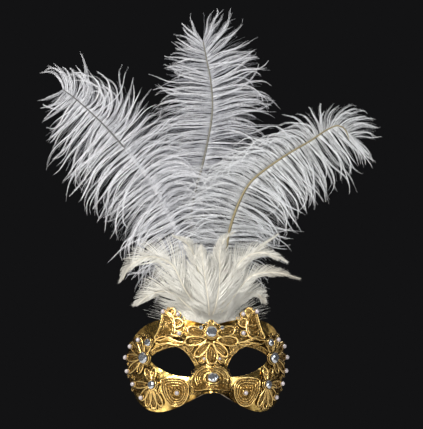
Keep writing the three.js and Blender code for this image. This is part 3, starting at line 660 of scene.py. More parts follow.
@dataclass
class MaskWall:
    """The gilded wall of the mask, with both eyes cut through and a plain back."""

    face: FaceSurface
    columns: int = 156
    rows: int = 52
    crowding: float = 1.12
    cut_front: float = -60.0
    cut_depth: float = 160.0
    leaf_tone: float = 0.42
    eye_inset: float = 16.0
    eye_width: float = 51.5
    eye_height: float = 30.0
    eye: tuple[tuple[float, float], ...] = (
        (1.0, 0.1), (0.79, 0.3), (0.56, 0.435), (0.39, 0.48), (0.275, 0.413), (0.17, 0.257),
        (0.058, -0.02), (0.0, -0.25), (0.02, -0.42), (0.08, -0.523), (0.28, -0.5), (0.5, -0.423),
        (0.73, -0.267), (0.91, -0.077),
    )

    def eye_line(self, count: int) -> np.ndarray:
        """Gives the outline of the right eye's opening.

        Args:
            count: How many points it has.

        Returns:
            Rows of across and height, anticlockwise from the outer corner.
        """
        rows = np.array([*self.eye, self.eye[0]])
        rows = rows * [self.eye_width, self.eye_height] + [self.eye_inset, 0.0]
        return smooth_path(rows, count + 1)[:-1]

    def cutter(self, side: Side) -> bpy.types.Object:
        """Makes the tool that cuts an eye through the wall, straight back.

        Args:
            side: Which eye.

        Returns:
            A closed prism along Y.
        """
        line = self.eye_line(96)
        at = self.face.place(side.value * line[:, 0], line[:, 1])
        shape = bmesh.new()
        front = [shape.verts.new((x * MM, self.cut_front * MM, z * MM)) for x, _, z in at]
        cap = shape.faces.new(front)
        pushed = bmesh.ops.extrude_face_region(shape, geom=[cap])
        moved = [v for v in pushed["geom"] if isinstance(v, bmesh.types.BMVert)]
        bmesh.ops.translate(shape, vec=(0, self.cut_depth * MM, 0), verts=moved)
        bmesh.ops.recalc_face_normals(shape, faces=shape.faces)
        return link_bmesh(shape, f"eye_cutter_{side.word}")

    def shade(self, wall: bpy.types.Object) -> None:
        """Writes how bright the leaf is: painted highlights under the eyes and beside the drop, and painted
        shade on the side brow, round the lace and on the lid.

        Args:
            wall: The wall, which gets the attribute.
        """
        count = len(wall.data.vertices)
        at = np.empty(count * 3, np.float32)
        wall.data.vertices.foreach_get("co", at)
        x, _, z = (at.reshape(-1, 3) / MM).T
        x = np.abs(x)
        # Painted highlight under the eyes, and between the drop and the fan.
        bright = 0.5 * np.exp(-(((x - 34) / 20) ** 2) - ((z + 13) / 9) ** 2)
        bright += 0.6 * np.exp(-(((x - 48) / 4.5) ** 2) - ((z + 40) / 10) ** 2)
        # Painted shade on the side brow and towards the temples.
        painted_shade = 0.14 * smoothstep(x, 48, 60) * smoothstep(z, 20, 28) + 0.12 * smoothstep(x, 52, 62)
        # Painted shade behind the crests and along the centre.
        painted_shade += 0.36 * smoothstep(z, 12, 20) * (1 - smoothstep(x, 40, 52))
        painted_shade += 0.3 * (1 - smoothstep(x, 14, 24))
        # Painted shade below the drop, and on the lid.
        painted_shade += 0.5 * (1 - smoothstep(z, -42, -30)) * (1 - smoothstep(x, 36, 45))
        painted_shade += 0.25 * smoothstep(z, 4, 12) * smoothstep(x, 14, 24) * (1 - smoothstep(z, 22, 28))
        mottle = 0.06 * np.sin(x * 0.33 + 3 * np.sin(z * 0.21)) * np.sin(z * 0.41 + 1.3)
        tone = wall.data.attributes.new("tone", "FLOAT", "POINT")
        tone.data.foreach_set("value", (self.leaf_tone + bright - painted_shade + mottle).astype(np.float32))

    def build(self, front_leaf: bpy.types.Material, back: bpy.types.Material) -> bpy.types.Object:
        """Builds the wall.

        Args:
            front_leaf: The finish of its face and edges.
            back: The finish of its back.

        Returns:
            The wall, as one closed mesh.
        """
        shape = bmesh.new()
        bmesh.ops.create_grid(shape, x_segments=self.columns, y_segments=self.rows, size=1.0)
        flat = np.array([v.co[:2] for v in shape.verts])
        across = self.face.reach * np.sign(flat[:, 0]) * np.abs(flat[:, 0]) ** self.crowding
        low, high = self.face.edge(across)
        height = low + (high - low) * (flat[:, 1] + 1) / 2
        crease = np.sin(across * 0.61 + 2.1 * np.sin(height * 0.23))
        ripple = 0.1 * crease * np.sin(height * 0.53 + across * 0.11)
        outer = self.face.point(across, height, ripple)
        inner = self.face.point(across, height, -self.face.wall)
        row = shape.verts.layers.int.new("row")
        for k, vert in enumerate(shape.verts):
            vert[row] = k
            vert.co = Vector(outer[k] * MM)
        front = list(shape.faces)
        pushed = bmesh.ops.extrude_face_region(shape, geom=front, use_keep_orig=True)
        for vert in {v for v in pushed["geom"] if isinstance(v, bmesh.types.BMVert)}:
            vert.co = Vector(inner[vert[row]] * MM)
        for face in (f for f in pushed["geom"] if isinstance(f, bmesh.types.BMFace)):
            face.material_index = 1
        bmesh.ops.recalc_face_normals(shape, faces=shape.faces)
        wall = link_bmesh(shape, "mask_wall")
        wall.data.materials.append(front_leaf)
        wall.data.materials.append(back)
        for side in Side:
            cutter = self.cutter(side)
            cutter.data.materials.append(front_leaf)
            cut = wall.modifiers.new("eye", "BOOLEAN")
            cut.operation, cut.object, cut.solver = "DIFFERENCE", cutter, "EXACT"
            apply_modifiers(wall)
            bpy.data.objects.remove(cutter)
        self.shade(wall)
        return wall


def link_bmesh(shape: bmesh.types.BMesh, name: str) -> bpy.types.Object:
    """Makes an object of a bmesh and frees it.

    Args:
        shape: The shape.
        name: The object's name.

    Returns:
        The object, at the origin.
    """
    data = bpy.data.meshes.new(name)
    shape.to_mesh(data)
    shape.free()
    made = bpy.data.objects.new(name, data)
    bpy.context.scene.collection.objects.link(made)
    return made


def apply_modifiers(piece: bpy.types.Object) -> None:
    """Bakes a piece's modifiers into its mesh.

    Args:
        piece: The piece.
    """
    graph = bpy.context.evaluated_depsgraph_get()
    baked = bpy.data.meshes.new_from_object(piece.evaluated_get(graph))
    piece.modifiers.clear()
    piece.data = baked


# Lace.


@dataclass(frozen=True)
class Seat:
    """The place of a stone or pearl on the right-hand side, and its size across."""

    across: float
    height: float
    size: float

    def at(self, side: Side = Side.RIGHT) -> np.ndarray:
        """Gives its across and height on a side of the mask."""
        return np.array([side.value * self.across, self.height])


SEATS: dict[str, Seat] = {
    "brow_crystal": Seat(0.0, 28.98, 11.0),
    "nose_crystal": Seat(0.0, -17.64, 10.5),
    "temple_crystal": Seat(71.24, 3.15, 11.0),
    "lid_crystal": Seat(64.48, 18.69, 7.2),
    "cheek_crystal": Seat(58.24, -23.94, 8.5),
    "brow_bead": Seat(10.4, 32.76, 4.0),
    "crest_outer_pearl": Seat(47.32, 48.72, 5.0),
    "crest_inner_pearl": Seat(32.03, 46.2, 5.0),
    "crest_lower_pearl": Seat(30.68, 27.09, 5.0),
    "temple_pearl_1": Seat(76.44, 21.0, 5.0),
    "temple_pearl_2": Seat(89.44, 14.28, 5.0),
    "temple_pearl_3": Seat(99.32, 3.15, 5.0),
    "temple_pearl_4": Seat(95.16, -10.5, 5.0),
    "cheek_pearl_1": Seat(83.72, -23.31, 5.0),
    "cheek_pearl_2": Seat(71.24, -36.12, 5.0),
    "drop_pearl": Seat(33.28, -31.08, 5.0),
    "brow_pearl": Seat(6.24, 1.89, 3.2),
}


@dataclass(frozen=True)
class Leaf:
    """A petal of lace: where it springs from, the way it points, its length and its width."""

    across: float
    height: float
    turn: float
    length: float
    width: float

    def mirrored(self, side: Side) -> "Leaf":
        """Gives the same leaf on a side of the mask.

        Args:
            side: The side.

        Returns:
            The leaf.
        """
        if side is Side.RIGHT:
            return self
        return Leaf(-self.across, self.height, 180 - self.turn, self.length, self.width)

    def outline(self, count: int) -> np.ndarray:
        """Draws the leaf's edge, which is widest beyond its middle.

        Args:
            count: How many points it has.

        Returns:
            Rows of across and height, anticlockwise from the root.
        """
        angle = 2 * np.pi * np.arange(count) / count
        forward = self.length * (1 - np.cos(angle)) / 2
        sideways = -self.width / 2 * np.sin(angle) * (0.8 + 0.4 * forward / self.length)
        c, s = math.cos(math.radians(self.turn)), math.sin(math.radians(self.turn))
        return np.stack(
            [self.across + forward * c - sideways * s, self.height + forward * s + sideways * c], -1
        )

    def spine(self, start: float, end: float) -> np.ndarray:
        """Draws its middle line.

        Args:
            start: The share of its length where the line starts.
            end: The share of its length where it ends.

        Returns:
            Rows of across and height.
        """
        c, s = math.cos(math.radians(self.turn)), math.sin(math.radians(self.turn))
        along = self.length * np.linspace(start, end, 6)
        return np.stack([self.across + along * c, self.height + along * s], -1)


@dataclass
class Lace:
    """Gilded lace laid on the face: netted fillings in corded outlines, with knots between."""

    face: FaceSurface
    rng: np.random.Generator
    bold_rim: float = 1.18
    rim: float = 0.92
    cord: float = 0.54
    fine_cord: float = 0.36
    fill: float = 0.9
    knot: float = 0.52
    knot_pitch: float = 1.4
    step: float = 0.9
    fine_step: float = 1.2
    fine_up_to: float = 0.45
    smooth_from: float = 0.6
    bold_from: float = 0.8
    cord_tone: float = 0.25
    bold_tone: float = 0.34
    # Painted highlights on the tops of the cords, the heavy cords and the knots.
    cord_top_highlight: float = 0.55
    bold_top_highlight: float = 0.5
    knot_top_highlight: float = 0.3
    knot_tones: tuple[float, float] = (0.12, 0.7)
    # Painted shade that darkens a whole motif.
    painted_shade: float = 0.0
    cords: Batch = field(default_factory=Batch)
    nets: Batch = field(default_factory=Batch)

    def __post_init__(self) -> None:
        """Makes the small shapes that are copied."""
        self.ball = Template.ball(6, 8)
        self.bead = Template.ball(2, 4)
        self.pad_form = Template.ball(8, 24)

    def frames(self, across: np.ndarray, height: np.ndarray) -> np.ndarray:
        """Finds three axes on the surface at each place: sideways, upwards and out.

        Args:
            across: Distances from the centre line.
            height: Heights above the bridge.

        Returns:
            Places by axes by x, y, z.
        """
        out = self.face.normal(across, height)
        side = unit(self.face.place(across + 0.5, height) - self.face.place(across - 0.5, height))
        return np.stack([side, np.cross(out, side), out], 1)

    def line(
        self,
        rows: np.ndarray,
        radius: float,
        lift: float,
        closed: bool = False,
        plies: float = 1.7,
        dim: float = 0.0,
    ) -> None:
        """Lays a twisted cord on the face.

        Args:
            rows: Its line, as rows of across and height.
            radius: Its radius.
            lift: How high its centre runs.
            closed: Whether it is a loop.
            plies: The pitch of its twist.
            dim: How much painted shade darkens it.
        """
        if closed:
            rows = np.vstack([rows, rows[:1]])
        length = float(np.linalg.norm(np.diff(rows, axis=0), axis=1).sum())
        step = self.step if radius > self.fine_up_to else self.fine_step
        count = max(7, int(length / step))
        even = smooth_path(rows, count + 1)
        even = even[:-1] if closed else even
        knots = np.arange(0, len(even) + 4, 4)
        wander = np.interp(np.arange(len(even)), knots, self.rng.normal(0, 0.07, len(knots)))
        points = self.face.point(even[:, 0], even[:, 1], lift + wander)
        up = self.face.normal(even[:, 0], even[:, 1])
        smooth, bold = radius > self.smooth_from, radius > self.bold_from
        turns = 0 if smooth else max(1, round(length / (2 * plies)))
        # Painted shade, of the whole motif and of this cord, darkens its tone.
        tone = (self.bold_tone if bold else self.cord_tone) - dim - self.painted_shade
        tone = tone + self.rng.normal(0, 0.08, len(even))
        radii = radius * (1 + 0.6 * wander[None])
        if not closed:
            from_end = np.minimum(np.arange(len(even)), np.arange(len(even))[::-1])
            radii = radii * np.clip(from_end / 2 + 0.45, 0, 1)
        self.cords.tubes(
            points[None], radii, up[None], tone[None], sides=7 if smooth else 5,
            closed=closed, twist=turns, top_highlight=self.bold_top_highlight if bold else self.cord_top_highlight,
        )

    def pad(
        self, outline: np.ndarray, centre: np.ndarray, fill: float | None = None, tone: float = 0.08
    ) -> None:
        """Lays a netted filling, as a low closed cushion.

        Args:
            outline: Its edge, anticlockwise, as rows of across and height.
            centre: Its middle.
            fill: Its height.
            tone: How bright it is in the hollows, which are painted dark as shade.
        """
        fill = self.fill if fill is None else fill
        form = self.pad_form.points
        share = np.linalg.norm(form[:, :2], axis=1)
        angle = np.arctan2(form[:, 1], form[:, 0]) % (2 * np.pi)
        corner = np.concatenate([outline, outline[:1]])
        station = np.linspace(0, 2 * np.pi, len(corner))
        edge = np.stack([np.interp(angle, station, corner[:, i]) for i in range(2)], -1)
        at = centre + share[:, None] * (edge - centre)
        lift = np.where(form[:, 2] > 0.01, fill * (0.75 + 0.25 * np.cos(share * np.pi * 0.5)), -0.6)
        lift = np.where(share > 0.96, 0.3, lift)
        points = self.face.point(at[:, 0], at[:, 1], lift)
        # The filling is painted dark as shade in the net's openings, and a little lighter towards its raised
        # middle.
        self.nets.add(points, self.pad_form.faces, tone + 0.12 * (1 - share))

    def knots(
        self,
        outline: np.ndarray,
        lift: float,
        pitch: float | None = None,
        inset: float = 0.9,
        size: float = 1.0,
        dim: float = 0.0,
    ) -> None:
        """Fills an outline with a grid of small knots, which stand for the net's threads.

        Args:
            outline: The edge, as rows of across and height.
            lift: How high the knots sit.
            pitch: Their spacing.
            inset: How far they keep from the edge.
            size: Their size as a share of a knot.
            dim: How much painted shade darkens them.
        """
        pitch = self.knot_pitch if pitch is None else pitch
        low, high = outline.min(0), outline.max(0)
        grid = np.stack(
            np.meshgrid(np.arange(low[0], high[0], pitch), np.arange(low[1], high[1], pitch * 0.87)), -1
        )
        grid[1::2, :, 0] += pitch / 2
        grid = grid.reshape(-1, 2) + self.rng.normal(0, 0.14 * pitch, (grid.size // 2, 2))
        grid = grid[inside(grid, outline, inset)]
        if not len(grid):
            return
        places = self.face.point(grid[:, 0], grid[:, 1], lift + self.rng.normal(0, 0.12, len(grid)))
        form = self.rng.uniform(0.7, 1.35, (len(grid), 3)) * [1.2, 1.0, 0.85]
        tones = self.rng.uniform(*self.knot_tones, len(grid)) - dim - self.painted_shade
        frames = self.frames(grid[:, 0], grid[:, 1])
        self.nets.copies(self.bead, places, frames, size * self.knot * form, tones, self.knot_top_highlight)

    def curls(self, outline: np.ndarray, lift: float, each: float = 9.0, dim: float = 0.1) -> None:
        """Scatters small curling cords over an outline.

        Args:
            outline: The edge, as rows of across and height.
            lift: How high they run.
            each: The area that one of them gets.
            dim: How much painted shade darkens them.
        """
        low, high = outline.min(0), outline.max(0)
        a, b = outline, np.roll(outline, -1, 0)
        area = abs((a[:, 0] * b[:, 1] - b[:, 0] * a[:, 1]).sum()) / 2
        places = self.rng.uniform(low, high, (4000, 2))
        places = places[inside(places, outline, 1.2)][: int(area / each)]
        t = np.linspace(-1, 1, 7)
        for place in places:
            turn, size = self.rng.uniform(0, 2 * np.pi), self.rng.uniform(0.75, 1.25)
            bend = self.rng.choice([-1, 1])
            rows = np.stack([2.3 * t, 1.25 * bend * np.cos(np.pi * 0.62 * t)], -1) * size
            c, s = math.cos(turn), math.sin(turn)
            self.line(place + rows @ np.array([[c, s], [-s, c]]), 0.32, lift, dim=dim)

    def ground(self, outline: np.ndarray, side: Side, lift: float = 0.35) -> None:
        """Covers a patch between the motifs with knots and curls.

        Args:
            outline: The patch's edge on the right-hand side.
            side: The side that it is laid on.
            lift: How high the knots sit.
        """
        rows = np.array(outline) * [side.value, 1]
        # The ground's knots and curls are painted darker, as painted shade between the motifs.
        self.knots(rows, lift, 1.7, 0.3, 1.15, 0.56)
        self.curls(rows, lift + 0.6, 11, 0.44)

    def leaf(self, leaf: Leaf, bold: bool = True) -> None:
        """Makes one petal: its filling, its corded edge, a finer cord inside and its net.

        Args:
            leaf: Its place and size.
            bold: Whether its edge is a heavy cord, where it is wide enough for one.
        """
        outline = leaf.outline(48)
        centre = outline.mean(0)
        self.pad(outline, centre, tone=0.0)
        rim = self.cord
        if bold and leaf.width > 5:
            rim = self.bold_rim if leaf.width > 7.5 else self.rim
        self.line(centre + 0.93 * (outline - centre), rim, 1.85, closed=True)
        if leaf.width > 5.2:
            inner = centre + 0.52 * (outline - centre)
            # The inner cord and the spine are painted darker, as painted shade inside the rim.
            self.line(inner, self.fine_cord, 1.3, closed=True, plies=1.2, dim=0.14)
            self.line(leaf.spine(0.3, 0.72), self.fine_cord, 1.4, dim=0.14)
        self.knots(outline, self.fill + 0.15, inset=1.25)

    def rings(self, rows: np.ndarray, radius: float, lift: float = 1.2) -> None:
        """Lays small corded rings, as lace has along its edges.

        Args:
            rows: Their middles, as rows of across and height.
            radius: Their radius.
            lift: How high they lie.
        """
        angle = 2 * np.pi * np.arange(10) / 10
        circle = radius * np.stack([np.cos(angle), np.sin(angle)], -1)
        for at in np.atleast_2d(rows):
            self.line(at + circle, 0.5, lift, closed=True, plies=1.0)

    def beads(self, rows: np.ndarray, radius: float, lift: float, tone: float = 0.6) -> None:
        """Sets round gilt beads at places on the face.

        Args:
            rows: The places, as rows of across and height.
            radius: Their radius.
            lift: How high their middles are.
            tone: How bright they are.
        """
        rows = np.atleast_2d(rows)
        places = self.face.point(rows[:, 0], rows[:, 1], lift)
        sizes, tones = np.full((len(rows), 1), radius), np.full(len(rows), tone)
        frames = self.frames(rows[:, 0], rows[:, 1])
        self.cords.copies(self.ball, places, frames, sizes, tones, self.knot_top_highlight)

    def collar(self, seat: Seat, side: Side = Side.RIGHT) -> None:
        """Rings a stone or pearl with a corded collar over a small cup.

        Args:
            seat: The stone's or pearl's seat.
            side: The side that it is on.
        """
        angle = 2 * np.pi * np.arange(28) / 28
        circle = np.stack([np.cos(angle), np.sin(angle)], -1)
        small = seat.size < 6
        at, edge = seat.at(side), seat.size / 2 + (0.1 if small else 0.35)
        self.pad(at + 1.1 * edge * circle, at, fill=2.9)
        self.line(at + edge * circle, 0.45 if small else 0.75, 2.7 if small else 3.0, closed=True, plies=1.1)
        if not small:
            self.line(at + (edge + 1.3) * circle, 0.5, 1.8, closed=True, plies=1.1)


def inside(points: np.ndarray, outline: np.ndarray, inset: float) -> np.ndarray:
    """Tells which points lie inside an outline.

    Args:
        points: Rows of two.
        outline: A closed line, as rows of two.
        inset: How far inside they have to be.

    Returns:
        A flag for each point.
    """
    a, b = outline, np.roll(outline, -1, 0)
    crossing = (a[None, :, 1] > points[:, None, 1]) != (b[None, :, 1] > points[:, None, 1])
    rise = np.where(np.abs(b[:, 1] - a[:, 1]) < 1e-9, 1e-9, b[:, 1] - a[:, 1])
    at = a[None, :, 0] + (points[:, None, 1] - a[None, :, 1]) * (b[:, 0] - a[:, 0]) / rise
    odd = (crossing & (points[:, None, 0] < at)).sum(1) % 2 == 1
    along = b - a
    share = ((points[:, None] - a[None]) * along[None]).sum(2) / np.maximum((along**2).sum(1), 1e-9)
    foot = a[None] + np.clip(share, 0, 1)[..., None] * along[None]
    return odd & (np.linalg.norm(points[:, None] - foot, axis=2).min(1) > inset)


def spray(seat: Seat, size: float, rows: tuple[tuple[float, float, float, float], ...]) -> list[Leaf]:
    """Gives the petals round a stone.

    Args:
        seat: The stone's seat.
        size: The petal size.
        rows: For each petal its turn, and its start, length and width as shares of the size.

    Returns:
        The petals of the right-hand side.
    """
    made = []
    for turn, start, length, width in rows:
        c, s = math.cos(math.radians(turn)), math.sin(math.radians(turn))
        across, height = seat.across + size * start * c, seat.height + size * start * s
        made.append(Leaf(across, height, turn, size * length, size * width))
    return made


def start_at_zero(line: np.ndarray, centre: np.ndarray) -> np.ndarray:
    """Spaces a closed line by angle, anticlockwise from the right of its centre.

    Args:
        line: A closed line, as rows of two.
        centre: A point that sees all of it.

    Returns:
        The line's points at even angles.
    """
    offset = line - centre
    angle = np.arctan2(offset[:, 1], offset[:, 0]) % (2 * np.pi)
    order = np.argsort(angle)
    reach = np.linalg.norm(offset, axis=1)[order]
    even = 2 * np.pi * np.arange(64) / 64
    far = np.interp(even, angle[order], reach, period=2 * np.pi)
    return centre + far[:, None] * np.stack([np.cos(even), np.sin(even)], -1)


@dataclass
class LaceWork:
    """All the lace motifs of the mask.

    Rows hold a petal's turn, start, length and width, or places as across and height on the right-hand
    side. Arches hold their half-width, rise and cord.
    """

    face: FaceSurface
    wall: MaskWall
    rng: np.random.Generator
    spray_size: float = 20.0
    brow_middle: Leaf = Leaf(0, 18.6, -90, 22.2, 10.4)
    brow_loop: Leaf = Leaf(0, 34.5, 90, 6.6, 6.0)
    brow_petals: tuple[Leaf, ...] = (
        Leaf(1.8, 19.6, -46, 20.5, 8.6), Leaf(5.0, 21.4, -4, 21.5, 9.0), Leaf(5.0, 26.4, 17, 19.5, 9.2),
    )
    brow_scrolls: tuple[Leaf, ...] = (Leaf(6.2, 5.6, -62, 8.6, 6.6), Leaf(17.6, 14.4, -14, 9.6, 7.0))
    brow_rings: tuple[tuple[float, float], ...] = ((4.2, 37.3), (7.4, 35.6), (3.4, -3.6), (8.4, -1.2))
    temple_rows: tuple[tuple[float, float, float, float], ...] = (
        (114, 0.2, 0.8, 0.36), (72, 0.2, 0.95, 0.36), (34, 0.2, 1.1, 0.38), (1, 0.2, 1.32, 0.38),
        (-30, 0.2, 1.26, 0.38), (-64, 0.2, 0.68, 0.34),
    )
    cheek_rows: tuple[tuple[float, float, float, float], ...] = (
        (84, 0.15, 0.72, 0.3), (55, 0.15, 0.85, 0.3), (1, 0.15, 1.24, 0.34), (-42, 0.15, 0.96, 0.36),
        (-68, 0.15, 1.0, 0.36), (-91, 0.15, 1.05, 0.36), (-114, 0.15, 1.0, 0.32),
    )
    crest_loops: tuple[Leaf, ...] = (
        Leaf(27.2, 37.8, 0, 11, 9.5), Leaf(37.4, 44.5, 62, 8.5, 9), Leaf(39.5, 43.7, 170, 9.5, 5.5),
        Leaf(39.5, 27.7, 182, 10, 5.5),
    )
    crest_bell: tuple[tuple[float, float], ...] = (
        (48.0, 50.8), (50.1, 41.2), (53.0, 31.1), (57.2, 21.8), (51.0, 20.6), (43.7, 23.1),
        (36.4, 24.4), (34.9, 33.6), (36.4, 42.0), (40.4, 47.9),
    )
    crest_leaf: tuple[tuple[float, float], ...] = (
        (58.0, 19.4), (52.0, 23.6), (45.0, 24.6), (38.0, 22.0), (31.0, 19.6), (25.5, 19.2),
        (30.0, 17.0), (37.0, 17.2), (45.0, 18.6), (52.0, 17.6),
    )
    crest_vein: tuple[tuple[float, float], ...] = ((52.5, 20.6), (44, 21.6), (36, 19.4), (30, 18.2))
    crest_rings: tuple[tuple[float, float], ...] = ((42.6, 52.0), (37.2, 50.4), (27.2, 42.4), (25.6, 33.0))
    temple_rings: tuple[tuple[float, float], ...] = (
        (81.6, 25.2), (84.6, 17.6), (94.6, 13.4), (93.6, 7.6), (99.4, -3.2), (98.2, -15.2), (90.4, -15.6),
        (88.4, -28.8), (86.2, -17.6), (78.6, -34.0), (72.0, 26.4), (66.4, 24.8),
    )
    cheek_rings: tuple[tuple[float, float], ...] = (
        (52.0, -45.6), (57.0, -47.4), (62.6, -46.4), (67.6, -43.0), (50.0, -30.0),
    )
    drop_beads: tuple[tuple[float, float], ...] = ((4.9, 4.6), (2.0, 4.8), (-1.6, 4.4), (5.6, 1.6))
    drop_line: tuple[tuple[float, float], ...] = (
        (50.5, -18.6), (43.5, -17.2), (35.0, -16.9), (27.5, -18.2), (22.6, -23.4), (21.4, -30.6),
        (24.0, -38.0), (30.0, -44.0), (38.4, -44.6), (44.4, -39.0), (48.4, -29.6),
    )
    nose_line: tuple[tuple[float, float], ...] = (
        (0.0, -7.1), (6.24, -5.0), (11.44, -6.7), (15.6, -11.8), (19.0, -18.9), (19.2, -24.4),
        (15.6, -29.0), (11.44, -29.2), (6.24, -28.4), (0.0, -28.1),
    )
    nose_arches: tuple[tuple[float, float, float], ...] = (
        (15.0, 11.6, 0.78), (12.6, 9.6, 0.42), (10.4, 8.0, 0.6),
    )
    nose_arch_turn: tuple[float, float] = (90.0, -34.0)
    nose_arch_height: float = -17.6
    nose_beads: tuple[tuple[float, float], ...] = ((-2.6, -25.4), (0.4, -26.4), (3.2, -25.0), (-4.8, -24.0))
    side_ground: tuple[tuple[float, float], ...] = (
        (52, -14), (58, -9), (63.5, -5), (69, -0.5), (69.5, 6), (64, 11.5), (60, 14), (61, 21), (69, 28),
        (80, 25), (90, 19.5), (98, 12), (101.5, 3), (100.5, -8), (96, -17), (90, -27), (82, -36),
        (74, -43), (64, -48), (54, -49.5), (50, -45), (53, -38), (55, -31), (53, -22),
    )
    brow_ground: tuple[tuple[float, float], ...] = (
        (9, 35), (20, 33), (28, 40.5), (36, 41), (36, 24), (28, 17), (20, 11), (14.5, 2), (12, -6),
        (6, -9), (8, 2), (14, 12), (21, 20), (23, 27), (14, 34),
    )
    nose_ground: tuple[tuple[float, float], ...] = (
        (0, -30.4), (8, -30.8), (15, -34), (22, -38), (26, -34), (22, -27), (22, -16), (17, -7),
        (9, -2), (0, -3),
    )

    def build(self) -> dict[str, Lace]:
        """Lays every motif.

        Returns:
            The lace of each motif by its name.
        """
        made = {"brow_flower": self.brow_flower(), "nose_shield": self.nose_shield()}
        for side in Side:
            made[f"brow_crest_{side.word}"] = self.brow_crest(side)
            made[f"temple_flower_{side.word}"] = self.temple_flower(side)
            made[f"cheek_fan_{side.word}"] = self.cheek_fan(side)
            made[f"cheek_drop_{side.word}"] = self.cheek_drop(side)
            made[f"lid_cord_{side.word}"] = self.lid_cord(side)
        return made

    def brow_flower(self) -> Lace:
        """Lays the open flower below the brow's stone.

        Returns:
            Its lace.
        """
        lace = Lace(self.face, self.rng)
        seat = SEATS["brow_crystal"]
        lace.leaf(self.brow_middle)
        for side in Side:
            for leaf in self.brow_petals:
                lace.leaf(leaf.mirrored(side))
            for leaf in self.brow_scrolls:
                lace.leaf(leaf.mirrored(side), bold=False)
            lace.collar(SEATS["brow_bead"], side)
            lace.collar(SEATS["brow_pearl"], side)
            lace.ground(self.brow_ground, side)
            lace.rings(np.array(self.brow_rings) * [side.value, 1], 1.3)
        lace.leaf(self.brow_loop, bold=False)
        lace.collar(seat)
        return lace

    def brow_crest(self, side: Side) -> Lace:
        """Lays the bell, its loops and its long leaf over an eye.

        Args:
            side: The side that it is on.

        Returns:
            Its lace.
        """
        # The crest's lace is painted a little darker, as painted shade.
        lace = Lace(self.face, self.rng, painted_shade=0.07)
        mirror = np.array([side.value, 1.0])
        bell = smooth_path(np.array([*self.crest_bell, self.crest_bell[0]]), 65)[:-1] * mirror
        centre = bell.mean(0)
        lace.pad(start_at_zero(bell, centre), centre, tone=0.0)
        lace.line(centre + 0.95 * (bell - centre), 1.05, 2.1, closed=True)
        lace.line(centre + 0.72 * (bell - centre), 0.5, 1.6, closed=True, plies=1.2)
        lace.knots(bell, 1.3)
        lace.curls(centre + 0.66 * (bell - centre), 1.5, 13)
        leaf = smooth_path(np.array([*self.crest_leaf, self.crest_leaf[0]]), 65)[:-1] * mirror
        middle = leaf.mean(0)
        for low, high in ((0, 22), (22, 43), (43, 64)):
            lace.line(middle + 0.62 * (leaf[low:high:3] - middle), 0.9, 1.2)
        lace.line(leaf, 0.95, 2.1, closed=True)
        lace.line(smooth_path(np.array(self.crest_vein), 24) * mirror, 0.5, 1.6)
        for loop in self.crest_loops:
            lace.leaf(loop.mirrored(side))
        lace.rings(np.array(self.crest_rings) * mirror, 1.5)
        for name in ("crest_outer_pearl", "crest_inner_pearl", "crest_lower_pearl"):
            lace.collar(SEATS[name], side)
        return lace

    def temple_flower(self, side: Side) -> Lace:
        """Lays the flower round a temple's stone, with pearls at its tips.

        Args:
            side: The side that it is on.

        Returns:
            Its lace.
        """
        # The temple's lace is painted darker, as painted shade.
        lace = Lace(self.face, self.rng, painted_shade=0.18)
        for leaf in spray(SEATS["temple_crystal"], self.spray_size, self.temple_rows):
            lace.leaf(leaf.mirrored(side))
        lace.rings(np.array(self.temple_rings) * [side.value, 1], 1.7)
        pearls = [f"temple_pearl_{k}" for k in (1, 2, 3, 4)]
        for name in (*pearls, "lid_crystal", "temple_crystal"):
            lace.collar(SEATS[name], side)
        lace.ground(self.side_ground, side)
        return lace

    def cheek_fan(self, side: Side) -> Lace:
        """Lays the fan of petals round a cheek's stone.

        Args:
            side: The side that it is on.

        Returns:
            Its lace.
        """
        # The fan's lace is painted a little darker, as painted shade.
        lace = Lace(self.face, self.rng, painted_shade=0.07)
        for leaf in spray(SEATS["cheek_crystal"], self.spray_size, self.cheek_rows):
            lace.leaf(leaf.mirrored(side))
        for name in ("cheek_pearl_1", "cheek_pearl_2", "cheek_crystal"):
            lace.collar(SEATS[name], side)
        lace.rings(np.array(self.cheek_rings) * [side.value, 1], 1.6)
        return lace

    def cheek_drop(self, side: Side) -> Lace:
        """Lays the rounded drop on a cheek, with cords one inside the other.

        Args:
            side: The side that it is on.

        Returns:
            Its lace.
        """
        lace = Lace(self.face, self.rng)
        mirror = np.array([side.value, 1.0])
        line = smooth_path(np.array([*self.drop_line, self.drop_line[0]]), 65)[:-1] * mirror
        centre = SEATS["drop_pearl"].at(side)
        lace.pad(start_at_zero(line, centre), centre, tone=0.0)
        for share, radius in ((0.97, 0.66), (0.82, 0.38), (0.66, 0.5), (0.48, 0.38)):
            lace.line(centre + share * (line - centre), radius, 1.55, closed=True)
        lace.knots(line, 1.15, 1.25, size=1.2)
        lace.beads(centre + mirror * np.array(self.drop_beads), 0.95, 2.0)
        lace.collar(SEATS["drop_pearl"], side)
        return lace

    def nose_shield(self) -> Lace:
        """Lays the shield over the nose, with arches on either side of its stone.

        Returns:
            Its lace.
        """
        lace = Lace(self.face, self.rng)
        half = np.array(self.nose_line)
        line = np.vstack([half, (half[1:-1] * [-1, 1])[::-1], half[:1]])
        line = smooth_path(line, 97)[:-1]
        centre = SEATS["nose_crystal"].at()
        lace.pad(start_at_zero(line, centre), centre, fill=1.2)
        lace.line(centre + 0.98 * (line - centre), 0.5, 1.2, closed=True)
        lace.knots(line, 1.25)
        for side in Side:
            for wide, rise, radius in self.nose_arches:
                turn = np.radians(np.linspace(*self.nose_arch_turn, 18))
                rows = np.stack([np.cos(turn) * wide, np.sin(turn) * rise + self.nose_arch_height], -1)
                lace.line(rows * [side.value, 1], radius, 1.75)
            lace.ground(self.nose_ground, side)
        lace.beads(np.array(self.nose_beads), 0.85, 1.9)
        lace.collar(SEATS["nose_crystal"])
        return lace

